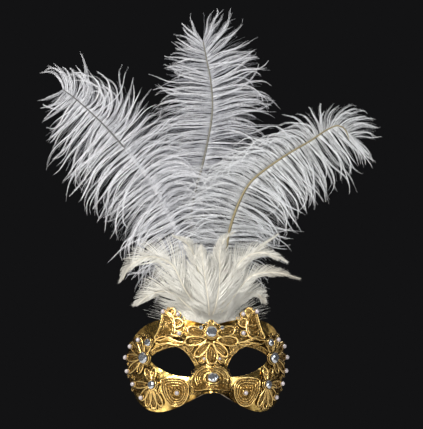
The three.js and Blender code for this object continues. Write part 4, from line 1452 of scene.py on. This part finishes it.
    def lid_cord(self, side: Side) -> Lace:
        """Lays the corded band along an upper lid.

        Args:
            side: The side that it is on.

        Returns:
            Its lace.
        """
        lace = Lace(self.face, self.rng)
        upper = self.wall.eye_line(120)[5:60]
        ahead = unit(np.gradient(upper, axis=0))
        out = np.stack([ahead[:, 1], -ahead[:, 0]], -1)
        for gap, radius, lift in ((0.9, 0.45, 0.7), (4.4, 0.55, 0.9)):
            lace.line((upper + gap * out) * [side.value, 1], radius, lift)
        band = np.vstack([upper + 0.6 * out, (upper + 4.8 * out)[::-1]]) * [side.value, 1]
        # The band's knots and curls are painted darker, as painted shade under the brow.
        lace.knots(band, 0.8, 1.3, 0.1, 1.5, 0.26)
        lace.curls(band, 1.2, 8, 0.24)
        return lace


# Stones and pearls.


@dataclass
class Jewels:
    """The cut stones and the pearls, each in its own seat."""

    face: FaceSurface
    seat_lift: float = 3.25
    facets: int = 16
    back: float = 0.82
    rings: tuple[tuple[float, float, float], ...] = (
        (1.0, 0.26, 0.0), (0.99, 0.34, 0.0), (0.8, 0.55, 0.5), (0.56, 0.68, 0.5),
    )
    pearl_share: float = 0.86
    pearl_lift: float = 0.25

    def cut_stone(self) -> Template:
        """Cuts a round stone of radius one: a flat back, a girdle, two rows of facets and a table.

        Each ring gives its radius, its height, and its turn in facets.

        Returns:
            The stone.
        """
        shape = bmesh.new()
        made = bmesh.ops.create_circle(shape, cap_ends=True, segments=self.facets, radius=self.back)
        ring = made["verts"]
        for radius, height, turn in self.rings:
            edges = [e for e in shape.edges if all(v in ring for v in e.verts)]
            pushed = bmesh.ops.extrude_edge_only(shape, edges=edges)
            ring = [v for v in pushed["geom"] if isinstance(v, bmesh.types.BMVert)]
            for k, vert in enumerate(sorted(ring, key=lambda v: math.atan2(v.co.y, v.co.x))):
                angle = -math.pi + 2 * math.pi * (k + turn) / self.facets
                vert.co = (radius * math.cos(angle), radius * math.sin(angle), height)
        bmesh.ops.contextual_create(shape, geom=ring)
        bmesh.ops.recalc_face_normals(shape, faces=shape.faces)
        return Template.of(shape)

    def build(self, crystal: bpy.types.Material, pearl: bpy.types.Material) -> None:
        """Sets every stone and pearl.

        Args:
            crystal: The stones' finish.
            pearl: The pearls' finish.
        """
        stone, ball = self.cut_stone(), Template.ball(14, 22)
        for name, seat in SEATS.items():
            is_pearl = "pearl" in name
            form = ball if is_pearl else stone
            finish, slot = (pearl, Slot.PEARL) if is_pearl else (crystal, Slot.CRYSTAL)
            lift = self.seat_lift + (self.pearl_lift * seat.size if is_pearl else 0.0)
            radius = seat.size / 2 * (self.pearl_share if is_pearl else 1.0)
            for side in Side if seat.across else (None,):
                node = name if side is None else f"{name}_{side.word}"
                across, height = (seat.at(side or Side.RIGHT)[i : i + 1] for i in range(2))
                place = self.face.point(across, height, lift)
                out = self.face.normal(across, height)
                sideways = unit(np.cross(np.array([[0.0, 0.0, 1.0]]), out))
                frame = np.stack([sideways, np.cross(out, sideways), out], 1)
                batch = Batch()
                batch.copies(form, place, frame, np.full((1, 1), radius), np.full(1, 0.6))
                dress(batch.mesh(f"{node}_set", smooth=is_pearl), finish, slot, node)


# Feathers.


@dataclass(frozen=True)
class Barbs:
    """One side of a plume: rows of place along the shaft, length, root angle and tip angle."""

    rows: tuple[tuple[float, float, float, float], ...]

    def at(self, share: np.ndarray) -> tuple[np.ndarray, np.ndarray, np.ndarray]:
        """Reads the table at places along the shaft.

        Args:
            share: The places, as shares of the shaft.

        Returns:
            The length, root angle and tip angle at each.
        """
        table = np.array(self.rows)
        return tuple(hermite(table[:, 0], table[:, i], share) for i in (1, 2, 3))


NEEDLE_UP = np.array([0.13, 0.97, 0.21])
NEEDLE_RADIUS = 0.1
BACK = np.array([0.0, 1.0, 0.0])
QUILL_TUCK = 22.0
TUFT_NEEDLE_RADIUS = 0.9 * NEEDLE_RADIUS
TUFT_HAIR = (1.5, 4.5)


def quill_heights(face: FaceSurface) -> np.ndarray:
    """Gives the heights of a quill's hidden part, from its foot behind the brow to just above it.

    Args:
        face: The face that it stands behind.

    Returns:
        Four heights.
    """
    top = face.brow * face.outline[0][1]
    return np.array([top - QUILL_TUCK, top - QUILL_TUCK / 2, top + 1, top + 7])


def grow(angle: np.ndarray, step: np.ndarray) -> np.ndarray:
    """Grows lines in the plane of the face, from their directions.

    Args:
        angle: The direction of each line at each point, anticlockwise from the right.
        step: The length of each line's steps.

    Returns:
        Lines by points by x, y, z, each from the origin.
    """
    move = np.stack([np.cos(angle), np.zeros_like(angle), np.sin(angle)], -1) * step
    return np.cumsum(np.concatenate([np.zeros((len(angle), 1, 3)), move[:, :-1]], 1), 1)


@dataclass
class Plume:
    """An ostrich plume: a tapered shaft, with its barbs gathered into soft curling strands.

    The path's rows are x and z. First is the share of the shaft where the barbs begin, cover is how far
    they hide the shaft up to its share bare, and shade is how much darker the whole plume is painted,
    which for the centre plume, leaning furthest back, is painted shade.
    """

    name: str
    face: FaceSurface
    rng: np.random.Generator
    foot: float
    lean: float
    path: tuple[tuple[float, float], ...]
    first: float
    sides: tuple[Barbs, Barbs]
    quill: float = 3.6
    tip: float = 1.2
    cover: float = 0.0
    bare: float = 0.74
    tuck: float = 6.4
    shade: float = 0.0
    turn_over: tuple[float, float] = (1.6, 1.6)
    strands_a_side: int = 104
    barbs_a_strand: int = 6
    steps: int = 11
    shaft_points: int = 90
    fine_shaft_points: int = 600
    fine_barbs: int = 300
    fine_steps: int = 7
    fine_radius: float = 0.15
    spread: float = 0.13
    bundle: float = 1.1
    wave: float = 22.0
    locks: int = 26
    barb_radius: float = 0.24
    stray_share: float = 0.2
    stray_length: float = 1.13
    stray_turn: float = 40.0
    own_length: float = 0.13
    own_root: float = 6.0
    own_turn: float = 17.0
    lock_root: float = 4.0
    lock_turn: float = 15.0
    tip_glow: float = 0.42
    root_shade: float = 0.24
    tip_curl: float = 46.0
    down: int = 9
    fine_down: int = 6
    down_length: float = 2.7

    def stem(self) -> np.ndarray:
        """Places the quill behind the brow, as rows of x, y, z."""
        return self.face.point(np.full(4, self.foot), quill_heights(self.face), -self.tuck)

    def shaft(self, count: int) -> np.ndarray:
        """Draws the whole shaft.

        Args:
            count: How many points it has.

        Returns:
            Rows of x, y, z.
        """
        stem = self.stem()
        free = np.array(self.path)
        y = stem[-1, 1] + math.tan(math.radians(self.lean)) * (free[:, 1] - stem[-1, 2])
        return smooth_path(np.vstack([stem, np.stack([free[:, 0], y, free[:, 1]], -1)]), count)

    def on_shaft(self, share: np.ndarray) -> np.ndarray:
        """Finds places along the shaft.

        Args:
            share: The places, as shares of its length.

        Returns:
            Rows of x, y, z.
        """
        line = self.shaft(self.fine_shaft_points)
        station = np.linspace(0, 1, self.fine_shaft_points)
        return np.stack([np.interp(share, station, line[:, i]) for i in range(3)], -1)

    def over(self, side: Barbs) -> float:
        """Tells how soon the barbs of a side turn over: the lower, the sooner."""
        return self.turn_over[self.sides.index(side)]

    def strands(self, side: Barbs) -> tuple[np.ndarray, np.ndarray, np.ndarray]:
        """Draws the middle line of every strand of one side, from its root.

        Args:
            side: The side's table.

        Returns:
            Each strand's share along the shaft, its line and its depth from back to front.
        """
        rng, count = self.rng, self.strands_a_side
        share = self.first + (1 - self.first) * (np.arange(count) + rng.uniform(0.1, 0.9, count)) / count
        length, root, tip = side.at(share)
        # Each strand's own length, root, turn, curl and depth. The last row keeps the draws in step.
        own = np.clip(rng.normal(0, 1, (6, count)), -2, 2)
        lock = np.interp(share, np.linspace(0, 1, self.locks), rng.normal(0, 1, self.locks))
        stray = rng.uniform(0, 1, count) < self.stray_share
        longer = np.where(stray, self.stray_length, 1.0)
        length = length * np.clip(1 + self.own_length * own[0], 0.5, 1.14) * longer
        root = root + self.own_root * own[1] + self.lock_root * lock
        tip = tip + np.where(stray, self.stray_turn, self.own_turn) * own[2] + self.lock_turn * lock
        u = np.linspace(0, 1, self.steps)
        angle = root[:, None] + (tip - root)[:, None] * u ** self.over(side)
        waves, start = rng.uniform(0.8, 1.7, (count, 1)), rng.uniform(0, 1, (count, 1))
        ripple = np.sin(2 * np.pi * (waves * u[None] + start))
        angle = angle + self.wave * ripple * u + self.tip_curl * own[3][:, None] * u**6
        line = grow(np.radians(angle), (length / (self.steps - 1))[:, None, None])
        depth = np.clip(own[4], -1.9, 1.9)
        line[..., 1] += (self.spread * depth)[:, None] * length[:, None] * u**1.3 * (1 - 0.2 * u)
        return share, line, depth

    def barbs(self, side: Barbs) -> tuple[np.ndarray, np.ndarray]:
        """Grows the barbs of one side, some to each strand.

        Args:
            side: The side's table.

        Returns:
            The barbs, as lines by points by x, y, z, and a tone for each.
        """
        rng, each = self.rng, self.barbs_a_strand
        share, line, depth = self.strands(side)
        strand = np.repeat(np.arange(len(share)), each)
        count = len(strand)
        place = np.tile(np.arange(each), len(share)) - (each - 1) / 2
        pitch = (1 - self.first) / self.strands_a_side
        own_share = np.clip(share[strand] + (place + rng.uniform(-0.4, 0.4, count)) * pitch / each, 0, 1)
        u = np.linspace(0, 1, self.steps)
        reach = rng.uniform(0.72, 1.03, count)
        at = np.clip(u[None] * reach[:, None], 0, 1) * (self.steps - 1)
        low = np.minimum(at.astype(int), self.steps - 2)
        part = (at - low)[..., None]
        rows = strand[:, None]
        path = line[rows, low] * (1 - part) + line[rows, low + 1] * part
        gather = smoothstep(u, 0, 0.42)[None, :, None]
        home, own = self.on_shaft(share[strand]), self.on_shaft(own_share)
        offset = rng.normal(0, self.bundle, (count, 1, 3)) * (1 - 0.72 * u)[None, :, None]
        path = path + home[:, None] + (own - home)[:, None] * (1 - gather) + offset * gather
        if self.cover:
            outward = unit(path[:, 3] - path[:, 0]) * [1, 0, 1]
            near = self.cover * (1 - smoothstep(own_share, self.bare - 0.06, self.bare))[:, None]
            back = near * (-outward + np.array([0, -0.9, 0]))
            path = path + back[:, None] * (1 - smoothstep(u, 0, 0.3))[None, :, None]
        # Strands further back are painted darker, as painted shade, and the whole plume by its shade.
        tone = np.clip(0.5 - self.shade - 0.17 * depth[strand] + rng.normal(0, 0.1, count), -0.1, 0.9)
        return path, tone

    def fine(self, side: Barbs) -> tuple[np.ndarray, np.ndarray]:
        """Grows the finer barbs that fill the blade behind the strands.

        Args:
            side: The side's table.

        Returns:
            The barbs, as lines by points by x, y, z, and a tone for each.
        """
        rng, count = self.rng, self.fine_barbs
        share = self.first + (1 - self.first) * (np.arange(count) + rng.uniform(0, 1, count)) / count
        length, root, tip = side.at(share)
        length = length * rng.uniform(0.5, 0.97, count)
        u = np.linspace(0, 1, self.fine_steps)
        over = self.over(side)
        bend = (tip - root)[:, None] * (length / side.at(share)[0])[:, None] ** over
        angle = root[:, None] + bend * u**over + rng.normal(0, 6, (count, 1)) * (0.4 + u)
        line = grow(np.radians(angle), (length / (self.fine_steps - 1))[:, None, None])
        depth = rng.uniform(0.2, 1.7, count)
        line[..., 1] += (self.spread * depth * length)[:, None] * u
        line = line + self.on_shaft(share)[:, None]
        # The finer barbs behind the strands are painted darker, as painted shade, the more so the further
        # back they lie.
        return line, np.clip(rng.normal(0.27, 0.08, count) - self.shade - 0.06 * depth, -0.1, 0.6)

    def build(self, barbs: bpy.types.Material, shaft: bpy.types.Material) -> None:
        """Builds the plume and its shaft.

        Args:
            barbs: The barbs' finish.
            shaft: The shaft's finish.
        """
        for word, side in zip(("one_side", "other_side"), self.sides):
            soft = Batch()
            paths, tone = self.barbs(side)
            u = np.linspace(0, 1, self.steps)
            radii = self.barb_radius * (1.1 - 0.75 * u)[None] * np.ones((len(paths), 1))
            # Painted shade at the roots, and painted light towards the tips.
            tones = tone[:, None] + self.tip_glow * smoothstep(u, 0, 0.5)[None] - self.root_shade
            soft.tubes(paths, radii, BACK, tones)
            self.add_down(soft, paths, tones, self.down)
            paths, tone = self.fine(side)
            taper = np.linspace(1.1, 0.4, self.fine_steps)[None]
            tones = tone[:, None] * np.ones(self.fine_steps)
            soft.tubes(paths, self.fine_radius * taper * np.ones((len(paths), 1)), BACK, tones)
            self.add_down(soft, paths, tones, self.fine_down)
            dress(soft.mesh(f"{self.name}_barbs_{word}"), barbs, Slot.OSTRICH, self.name)
        hard = Batch()
        line = self.shaft(self.shaft_points)
        radii = np.linspace(self.quill, self.tip, self.shaft_points)[None] / 2
        hard.tubes(line[None], radii, BACK, np.full(radii.shape, 0.5), sides=10)
        dress(hard.mesh(f"{self.name}_shaft"), shaft, Slot.OSTRICH)

    def add_down(self, batch: Batch, paths: np.ndarray, tones: np.ndarray, each: int) -> None:
        """Grows the short down on both sides of every barb.

        Args:
            batch: What it is added to.
            paths: The barbs.
            tones: Their tones.
            each: How many hairs a barb gets.
        """
        rng, steps = self.rng, paths.shape[1]
        count = len(paths) * each
        barb = np.repeat(np.arange(len(paths)), each)
        place = rng.uniform(0.04, 0.99, count) * (steps - 1)
        low = place.astype(int)
        part = (place - low)[:, None]
        root = paths[barb, low] * (1 - part) + paths[barb, low + 1] * part
        ahead = unit(paths[barb, low + 1] - paths[barb, low])
        way = rng.choice([-1, 1], count)[:, None]
        side = np.stack([-ahead[:, 2], np.zeros(count), ahead[:, 0]], -1) * way
        open_angle = np.radians(rng.uniform(14, 48, count))[:, None]
        drift = rng.normal(0, 0.4, (count, 1)) * np.array([[0, 1.0, 0]])
        direction = unit(ahead * np.cos(open_angle) + side * np.sin(open_angle) + drift)
        share = place / (steps - 1)
        fullness = 0.7 + 0.5 * np.sin(np.pi * share**0.8)
        length = self.down_length * rng.uniform(0.5, 1.15, count) * fullness
        tone = np.clip(tones[barb, low] + rng.normal(0.06, 0.08, count), 0, 1)
        batch.needles(root, root + direction * length[:, None], NEEDLE_RADIUS, NEEDLE_UP, tone)


@dataclass
class TuftFeather:
    """A short feather: a quill that opens into a soft vane, split here and there.

    The spine's rows are shares of the tuft's spread and height, blade is a share of the full width, and
    layer counts the feathers from the back to the front.
    """

    name: str
    face: FaceSurface
    rng: np.random.Generator
    foot: float
    layer: float
    blade: float
    spine: tuple[tuple[float, float], ...]
    quill: float = 1.5
    layer_pitch: float = 3.4
    blade_width: float = 16.0
    barbs_a_side: int = 170
    steps: int = 6
    down: int = 3
    dark_tip: float = 0.0
    foot_pitch: float = 2.4
    tuck: float = 3.5
    spread: tuple[float, float] = (90.0, 130.0)
    fan: tuple[float, float] = (43.0, 60.0)
    bare_foot: float = 24.0
    clumps: int = 17
    most_clumps: int = 40
    spine_points: int = 400
    quill_every: int = 5
    open_angle: float = 27.0
    barb_radius: float = 0.46
    behind_brow: float = 4.5

    def line(self, count: int) -> np.ndarray:
        """Draws the quill and the spine.

        Args:
            count: How many points the line has.

        Returns:
            Rows of x, y, z.
        """
        across = np.full(4, self.foot * self.foot_pitch)
        stem = self.face.point(across, quill_heights(self.face), -self.tuck)
        free = np.array(self.spine) * self.spread
        forward = self.layer_pitch * self.layer * smoothstep(free[:, 1], *self.fan)
        points = np.stack([free[:, 0], stem[-1, 1] - forward, free[:, 1]], -1)
        return smooth_path(np.vstack([stem, points]), count)

    def build(self, vane: bpy.types.Material, quill: bpy.types.Material) -> None:
        """Builds the feather.

        Args:
            vane: The vane's finish.
            quill: The quill's finish.
        """
        rng, batch = self.rng, Batch()
        line = self.line(self.spine_points)
        ahead = unit(np.gradient(line, axis=0))
        length = np.concatenate([[0], np.cumsum(np.linalg.norm(np.diff(line, axis=0), axis=1))])
        first = self.bare_foot / length[-1]
        for way in (-1, 1):
            count = self.barbs_a_side
            share = first + (1 - first) * (np.arange(count) + rng.uniform(0, 1, count)) / count
            at = (share * (self.spine_points - 1)).astype(int)
            open_share = (share - first) / (1 - first)
            swell = np.sin(np.pi * np.clip(0.97 * open_share + 0.02, 0, 1) ** 0.62)
            half = self.blade_width * self.blade * (0.05 + 0.95 * swell)
            clump = (open_share * self.clumps + rng.normal(0, 0.15, count)).astype(int)
            jitter = rng.normal(0, 1, self.most_clumps)[clump]
            narrow = 1 - 0.45 * smoothstep(open_share, 0.55, 1)
            root = np.radians((34 + 4 * jitter + rng.normal(0, 2.5, count)) * narrow)
            tip = np.radians((12 + 5 * jitter + rng.normal(0, 3, count)) * narrow)
            reach = half / np.sin(np.radians(self.open_angle))
            reach = reach * np.clip(rng.normal(0.96, 0.07, count), 0.6, 1.1)
            u = np.linspace(0, 1, self.steps)
            angle = (root[:, None] + (tip - root)[:, None] * u) * way
            forward = ahead[at][:, None]
            side = unit(np.cross(BACK, ahead[at]))[:, None]
            step = (reach / (self.steps - 1))[:, None, None]
            move = (forward * np.cos(angle)[..., None] + side * np.sin(angle)[..., None]) * step
            move[..., 1] *= 0.2
            start = np.zeros((count, 1, 3))
            path = line[at][:, None] + np.cumsum(np.concatenate([start, move[:, :-1]], 1), 1)
            cup = 0.13 * reach[:, None] * u**1.6 + 2.2 * rng.normal(0, 1, (count, 1)) * u
            path[..., 1] += cup
            path = self.face.behind(path, self.behind_brow)
            radii = self.barb_radius * (1.1 - 0.8 * u)[None] * np.ones((count, 1))
            # Painted light: each barb is painted brighter towards its tip, and the vane brighter near its
            # foot, where the tuft lies in shade.
            tone = np.clip(0.52 + 0.06 * jitter + rng.normal(0, 0.07, count), 0, 1)[:, None] + 0.1 * u
            tone = tone + 0.25 * (1 - smoothstep(open_share, 0.1, 0.6))[:, None]
            tone = tone - self.dark_tip * smoothstep(open_share, 0.45, 0.9)[:, None]
            batch.tubes(path, radii, BACK, tone, flat=0.35)
            pick = np.repeat(np.arange(count), self.down)
            low = rng.integers(2, self.steps - 1, len(pick))
            base = path[pick, low]
            out = unit(path[pick, low + 1] - base)
            spread = out + rng.normal(0, 0.45, (len(pick), 3))
            tips = base + unit(spread) * rng.uniform(*TUFT_HAIR, (len(pick), 1))
            batch.needles(base, tips, TUFT_NEEDLE_RADIUS, NEEDLE_UP, tone[pick, low])
        dress(batch.mesh(f"{self.name}_vane"), vane, Slot.HACKLE, self.name)
        hard = Batch()
        radii = (self.quill / 2 * np.linspace(1, 0.3, self.spine_points))[None, :: self.quill_every]
        spine = line[None, :: self.quill_every]
        hard.tubes(spine, radii, BACK, np.full(radii.shape, 0.5), sides=7)
        dress(hard.mesh(f"{self.name}_quill"), quill, Slot.HACKLE)


@dataclass
class TuftDown:
    """The loose down at the foot of the tuft, just over the brow."""

    face: FaceSurface
    rng: np.random.Generator
    count: int = 1550
    steps: int = 6
    hairs: int = 6
    wide: float = 8.5
    hair_radius: float = 0.17
    most_lean: float = 84.0
    first_lean: float = 62.0
    lean_out: float = 24.0
    lean_own: float = 15.0
    curl_range: tuple[float, float] = (1.2, 2.25)
    root_height: tuple[float, float] = (30.0, 41.0)
    root_depth: tuple[float, float] = (3.2, 6.5)
    length_range: tuple[float, float] = (18.0, 62.0)
    to_back_range: tuple[float, float] = (-13.0, 5.0)
    behind_brow: float = 3.4
    tips_behind_brow: float = 3.2

    def build(self, material: bpy.types.Material) -> None:
        """Builds the down.

        Args:
            material: Its finish.
        """
        rng, n = self.rng, self.count
        across = rng.normal(0, self.wide, n)
        height = rng.uniform(*self.root_height, n)
        start = self.face.point(across, height, -rng.uniform(*self.root_depth, n))
        lean = across / self.wide * self.lean_out + rng.normal(0, self.lean_own, n)
        lean = np.clip(lean, -self.first_lean, self.first_lean)
        in_all = np.clip(lean * rng.uniform(*self.curl_range, n), -self.most_lean, self.most_lean)
        curl = np.radians(in_all - lean)
        length = rng.uniform(*self.length_range, n) * (1 - 0.25 * np.clip(np.abs(lean) / 60, 0, 1))
        u = np.linspace(0, 1, self.steps)
        angle = np.radians(90 - lean)[:, None] - curl[:, None] * u**1.5
        path = start[:, None] + grow(angle, (length / (self.steps - 1))[:, None, None])
        to_back = rng.uniform(*self.to_back_range, n)
        path[..., 1] += to_back[:, None] * smoothstep(path[..., 2], 40, 70)
        path = self.face.behind(path, self.behind_brow)
        batch = Batch()
        radii = self.hair_radius * (1.1 - 0.85 * u)[None] * np.ones((n, 1))
        tone = np.clip(rng.normal(0.75, 0.1, n), 0, 1)[:, None] + 0.1 * u
        batch.tubes(path, radii, BACK, tone)
        pick = np.repeat(np.arange(n), self.hairs)
        low = rng.integers(0, self.steps - 1, len(pick))
        along = path[pick, low + 1] - path[pick, low]
        base = path[pick, low] + along * rng.uniform(0, 1, (len(pick), 1))
        out = unit(along) + rng.normal(0, 0.5, (len(pick), 3)) * [1, 0.3, 1]
        tips = base + unit(out) * rng.uniform(*TUFT_HAIR, (len(pick), 1))
        held = self.face.behind(tips, self.tips_behind_brow)
        batch.needles(base, held, TUFT_NEEDLE_RADIUS, NEEDLE_UP, tone[pick, low])
        dress(batch.mesh("tuft_down"), material, Slot.HACKLE)


# The stage.


@dataclass(frozen=True)
class Lamp:
    """A square lamp that faces the mask. Its place is in metres."""

    name: str
    place: tuple[float, float, float]
    size: float
    power: float
    color: tuple[float, float, float]

    def build(self, aim: Vector) -> None:
        """Builds the lamp.

        Args:
            aim: What it faces.
        """
        lamp = bpy.data.objects.new(self.name, bpy.data.lights.new(self.name, "AREA"))
        bpy.context.scene.collection.objects.link(lamp)
        lamp.data.size, lamp.data.energy, lamp.data.color = self.size, self.power, self.color
        lamp.location = self.place
        lamp.rotation_euler = (aim - Vector(self.place)).to_track_quat("-Z", "Y").to_euler()


@dataclass
class Studio:
    """The camera, the lamps and the floor, in metres and degrees."""

    distance: float = 4.0
    azimuth: float = -6.0
    elevation: float = -1.2
    aim_height: float = 0.1475
    picture: tuple[int, int] = (423, 429)
    sensor: float = 36.0
    lamp_aim: tuple[float, float, float] = (0.0, 0.0, 0.12)
    floor_drop: float = 0.42
    floor_radius: float = 1.0
    gloom: tuple[float, float, float] = (0.0065, 0.0065, 0.007)
    lamps: tuple[Lamp, ...] = (
        Lamp("key", (-0.9, -1.5, 1.3), 0.7, 48.0, (1.0, 0.97, 0.93)),
        Lamp("fill", (1.5, -1.5, 0.5), 1.0, 13.0, (0.95, 0.97, 1.0)),
        Lamp("rim", (0.3, 1.6, 1.4), 1.2, 26.0, (1.0, 1.0, 1.0)),
        Lamp("left", (-1.9, 0.7, 0.35), 0.7, 1.6, (1.0, 0.97, 0.92)),
        Lamp("right", (1.9, 0.7, 0.35), 0.7, 1.6, (1.0, 0.97, 0.92)),
        Lamp("bounce", (-1.25, -0.55, -0.3), 0.8, 6.0, (1.0, 0.97, 0.92)),
        Lamp("low", (0.0, -1.6, -0.25), 0.8, 4.0, (1.0, 0.98, 0.95)),
    )

    def build(self, floor_material: bpy.types.Material) -> None:
        """Builds the studio.

        Args:
            floor_material: The floor's finish.
        """
        self.build_camera()
        for lamp in self.lamps:
            lamp.build(Vector(self.lamp_aim))
        self.build_world()
        shape = bmesh.new()
        bmesh.ops.create_circle(shape, cap_ends=True, segments=96, radius=self.floor_radius)
        bmesh.ops.translate(shape, vec=(0, 0, -self.floor_drop), verts=shape.verts)
        floor = link_bmesh(shape, "studio_floor")
        floor.data.materials.append(floor_material)

    def build_camera(self) -> None:
        """Builds the camera: a long lens, with one millimetre of the mask to each pixel."""
        turn, rise = math.radians(self.azimuth), math.radians(self.elevation)
        back = Vector((math.sin(turn) * math.cos(rise), -math.cos(turn) * math.cos(rise), math.sin(rise)))
        camera = bpy.data.objects.new("camera", bpy.data.cameras.new("camera"))
        bpy.context.scene.collection.objects.link(camera)
        camera.data.sensor_width = self.sensor
        camera.data.lens = self.sensor * self.distance / (self.picture[1] * MM)
        camera.location = Vector((0, 0, self.aim_height)) + self.distance * back
        camera.rotation_euler = (math.pi / 2 - rise, 0.0, turn)
        bpy.context.scene.camera = camera

    def build_world(self) -> None:
        """Builds the dim surroundings, and shows colours as they are."""
        world = bpy.data.worlds.new("studio")
        world.use_nodes = True
        surroundings = world.node_tree.nodes["Background"]
        surroundings.inputs["Color"].default_value = (*self.gloom, 1.0)
        surroundings.inputs["Strength"].default_value = 1.0
        bpy.context.scene.world = world
        bpy.context.scene.view_settings.view_transform = "Standard"


# The plumes' tables: rows of Barbs run from the lowest barbs to the tip.
PLUME_CENTRE = dict(
    name="plume_centre", foot=-1.5, lean=14.0, first=0.42, shade=0.16,
    path=(
        (-10.88, 71.5), (-16, 121.7), (-15.2, 157.1), (-4, 198.1), (5.6, 239.4), (8, 260.1),
        (6.72, 286.3), (3.2, 307.3), (0, 326.2),
    ),
    sides=(
        Barbs((
            (0.4, 55, 170, 240), (0.53, 70, 178, 235), (0.66, 68, 178, 228), (0.78, 60, 177, 205),
            (0.87, 49, 172, 187), (0.94, 35, 168, 172), (1, 31, 132, 112),
        )),
        Barbs((
            (0.4, 55, 12, -65), (0.53, 66, 8, -62), (0.66, 65, 10, -50), (0.78, 61, 16, -30),
            (0.87, 56, 22, -4), (0.94, 50, 32, 24), (1, 34, 80, 88),
        )),
    ),
)
PLUME_LEFT = dict(
    name="plume_left", foot=-7.5, lean=8.0, first=0.26, cover=2.2, turn_over=(1.6, 1.05),
    path=(
        (-14.3, 71.5), (-28, 116.7), (-44.8, 157), (-64.8, 190.4), (-84.8, 215.6), (-102.2, 235.4),
        (-114.9, 248), (-135, 266.1), (-146, 274),
    ),
    sides=(
        Barbs((
            (0.26, 50, 200, 258), (0.4, 62, 208, 258), (0.55, 67, 215, 263), (0.66, 68, 219, 265),
            (0.75, 70, 222, 262), (0.83, 66, 226, 256), (0.9, 54, 226, 244), (1, 24, 215, 190),
        )),
        Barbs((
            (0.26, 45, 20, -80), (0.49, 70, 45, -88), (0.6, 68, 48, -70), (0.69, 62, 50, 20),
            (0.76, 54, 46, 75), (0.82, 54, 36, 148), (0.88, 53, 34, 190), (0.94, 42, 52, 190),
            (1, 32, 100, 160),
        )),
    ),
)
PLUME_RIGHT = dict(
    name="plume_right", foot=6.3, lean=3.0, first=0.24, shade=0.1, turn_over=(1.35, 1.6),
    path=(
        (8.5, 61.6), (14.6, 96.6), (19.7, 130.9), (30.1, 160.9), (41.5, 180.4),
        (62.9, 198.0), (83.1, 211.3), (103.0, 222.8), (120.7, 234.4), (130.6, 238.0),
        (138.0, 234.0), (142.0, 223.7),
    ),
    sides=(
        Barbs((
            (0.24, 45, 165, 215), (0.38, 50, 172, 205), (0.48, 58, 160, 235), (0.56, 60, 148, 256),
            (0.65, 56, 140, 264), (0.73, 51, 136, 268), (0.8, 42, 130, 266), (0.845, 34, 118, 240),
            (0.875, 28, 92, 70), (0.91, 32, 66, -30), (1, 36, 14, -35),
        )),
        Barbs((
            (0.24, 48, 0, -62), (0.38, 54, -2, -54), (0.48, 58, -14, -60), (0.56, 64, -26, -68),
            (0.65, 61, -38, -78), (0.73, 58, -46, -84), (0.8, 58, -52, -88), (0.87, 56, -54, -88),
            (0.93, 47, -46, -74), (1, 40, -42, -52),
        )),
    ),
)
# The tuft's feathers, from front to back: name, foot, layer, blade and spine.
TUFT = (
    ("tuft_centre_left", -0.6, 7.2, 1.0, ((-0.05, 0.46), (-0.1, 0.69), (-0.13, 0.89))),
    ("tuft_centre_right", 0.6, 6.0, 1.0, ((0.045, 0.46), (0.08, 0.69), (0.07, 0.91))),
    (
        "tuft_left_low", -3.2, 5.0, 1.0,
        ((-0.3, 0.555), (-0.47, 0.76), (-0.71, 0.808), (-0.91, 0.738), (-1.0, 0.62)),
    ),
    ("tuft_right_low", 2.5, 5.0, 0.8, ((0.15, 0.5), (0.3, 0.76), (0.5, 0.84), (0.72, 0.81), (0.83, 0.77))),
    ("tuft_left_mid", -1.8, 3.8, 0.7, ((-0.11, 0.55), (-0.19, 0.8), (-0.29, 0.92), (-0.43, 0.97))),
    ("tuft_right_tip", 3.5, 4.0, 0.55, ((0.22, 0.48), (0.44, 0.66), (0.69, 0.69), (1.01, 0.64))),
    ("tuft_right_mid", 1.5, 3.0, 0.65, ((0.08, 0.58), (0.1, 0.81), (0.135, 0.94), (0.25, 1.0))),
    ("tuft_left_fluff", -4.7, 2.0, 0.95, ((-0.26, 0.43), (-0.47, 0.54), (-0.67, 0.52), (-0.83, 0.44))),
    ("tuft_right_high", 4.5, 2.0, 0.35, ((0.2, 0.58), (0.39, 0.77), (0.56, 0.89), (0.75, 0.985))),
    ("tuft_right_fluff", 5.5, 1.0, 0.75, ((0.2, 0.41), (0.36, 0.52), (0.5, 0.53), (0.62, 0.46))),
)

DARK_TIPS = {"tuft_right_tip": 0.75}
PLAIN_TIP = 0.12


def main() -> None:
    """Builds the mask piece by piece."""
    logging.basicConfig(level=logging.INFO, format="%(message)s")
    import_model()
    rng = np.random.default_rng(RNG_SEED)
    face = FaceSurface()
    wall = MaskWall(face)
    leaf = GOLD_LEAF.build()
    dress(wall.build(leaf, BARE_PAPIER.build()), leaf, Slot.PAPIER, "mask_shell")

    cord, net = GILDED_CORD.build(), GILDED_NET.build()
    for name, lace in LaceWork(face, wall, rng).build().items():
        if lace.nets.count:
            dress(lace.nets.mesh(f"{name}_net"), net, Slot.LACE)
        dress(lace.cords.mesh(f"{name}_cord"), cord, Slot.LACE, name)

    Jewels(face).build(CRYSTAL.build(), PEARL.build())

    cool, warm, cream = OSTRICH_COOL.build(), OSTRICH_WARM.build(), HACKLE.build()
    quill = SHAFT_CREAM.build()
    Plume(face=face, rng=rng, **PLUME_CENTRE).build(cool, SHAFT_OLIVE.build())
    Plume(face=face, rng=rng, **PLUME_LEFT).build(cool, SHAFT_GREY.build())
    Plume(face=face, rng=rng, **PLUME_RIGHT).build(warm, SHAFT_OCHRE.build())
    for name, foot, layer, blade, spine in TUFT:
        dark_tip = DARK_TIPS.get(name, PLAIN_TIP)
        TuftFeather(name, face, rng, foot, layer, blade, spine, dark_tip=dark_tip).build(cream, quill)
    TuftDown(face, rng).build(cream)

    Studio().build(STUDIO_FLOOR.build())


if __name__ == "__main__":
    main()
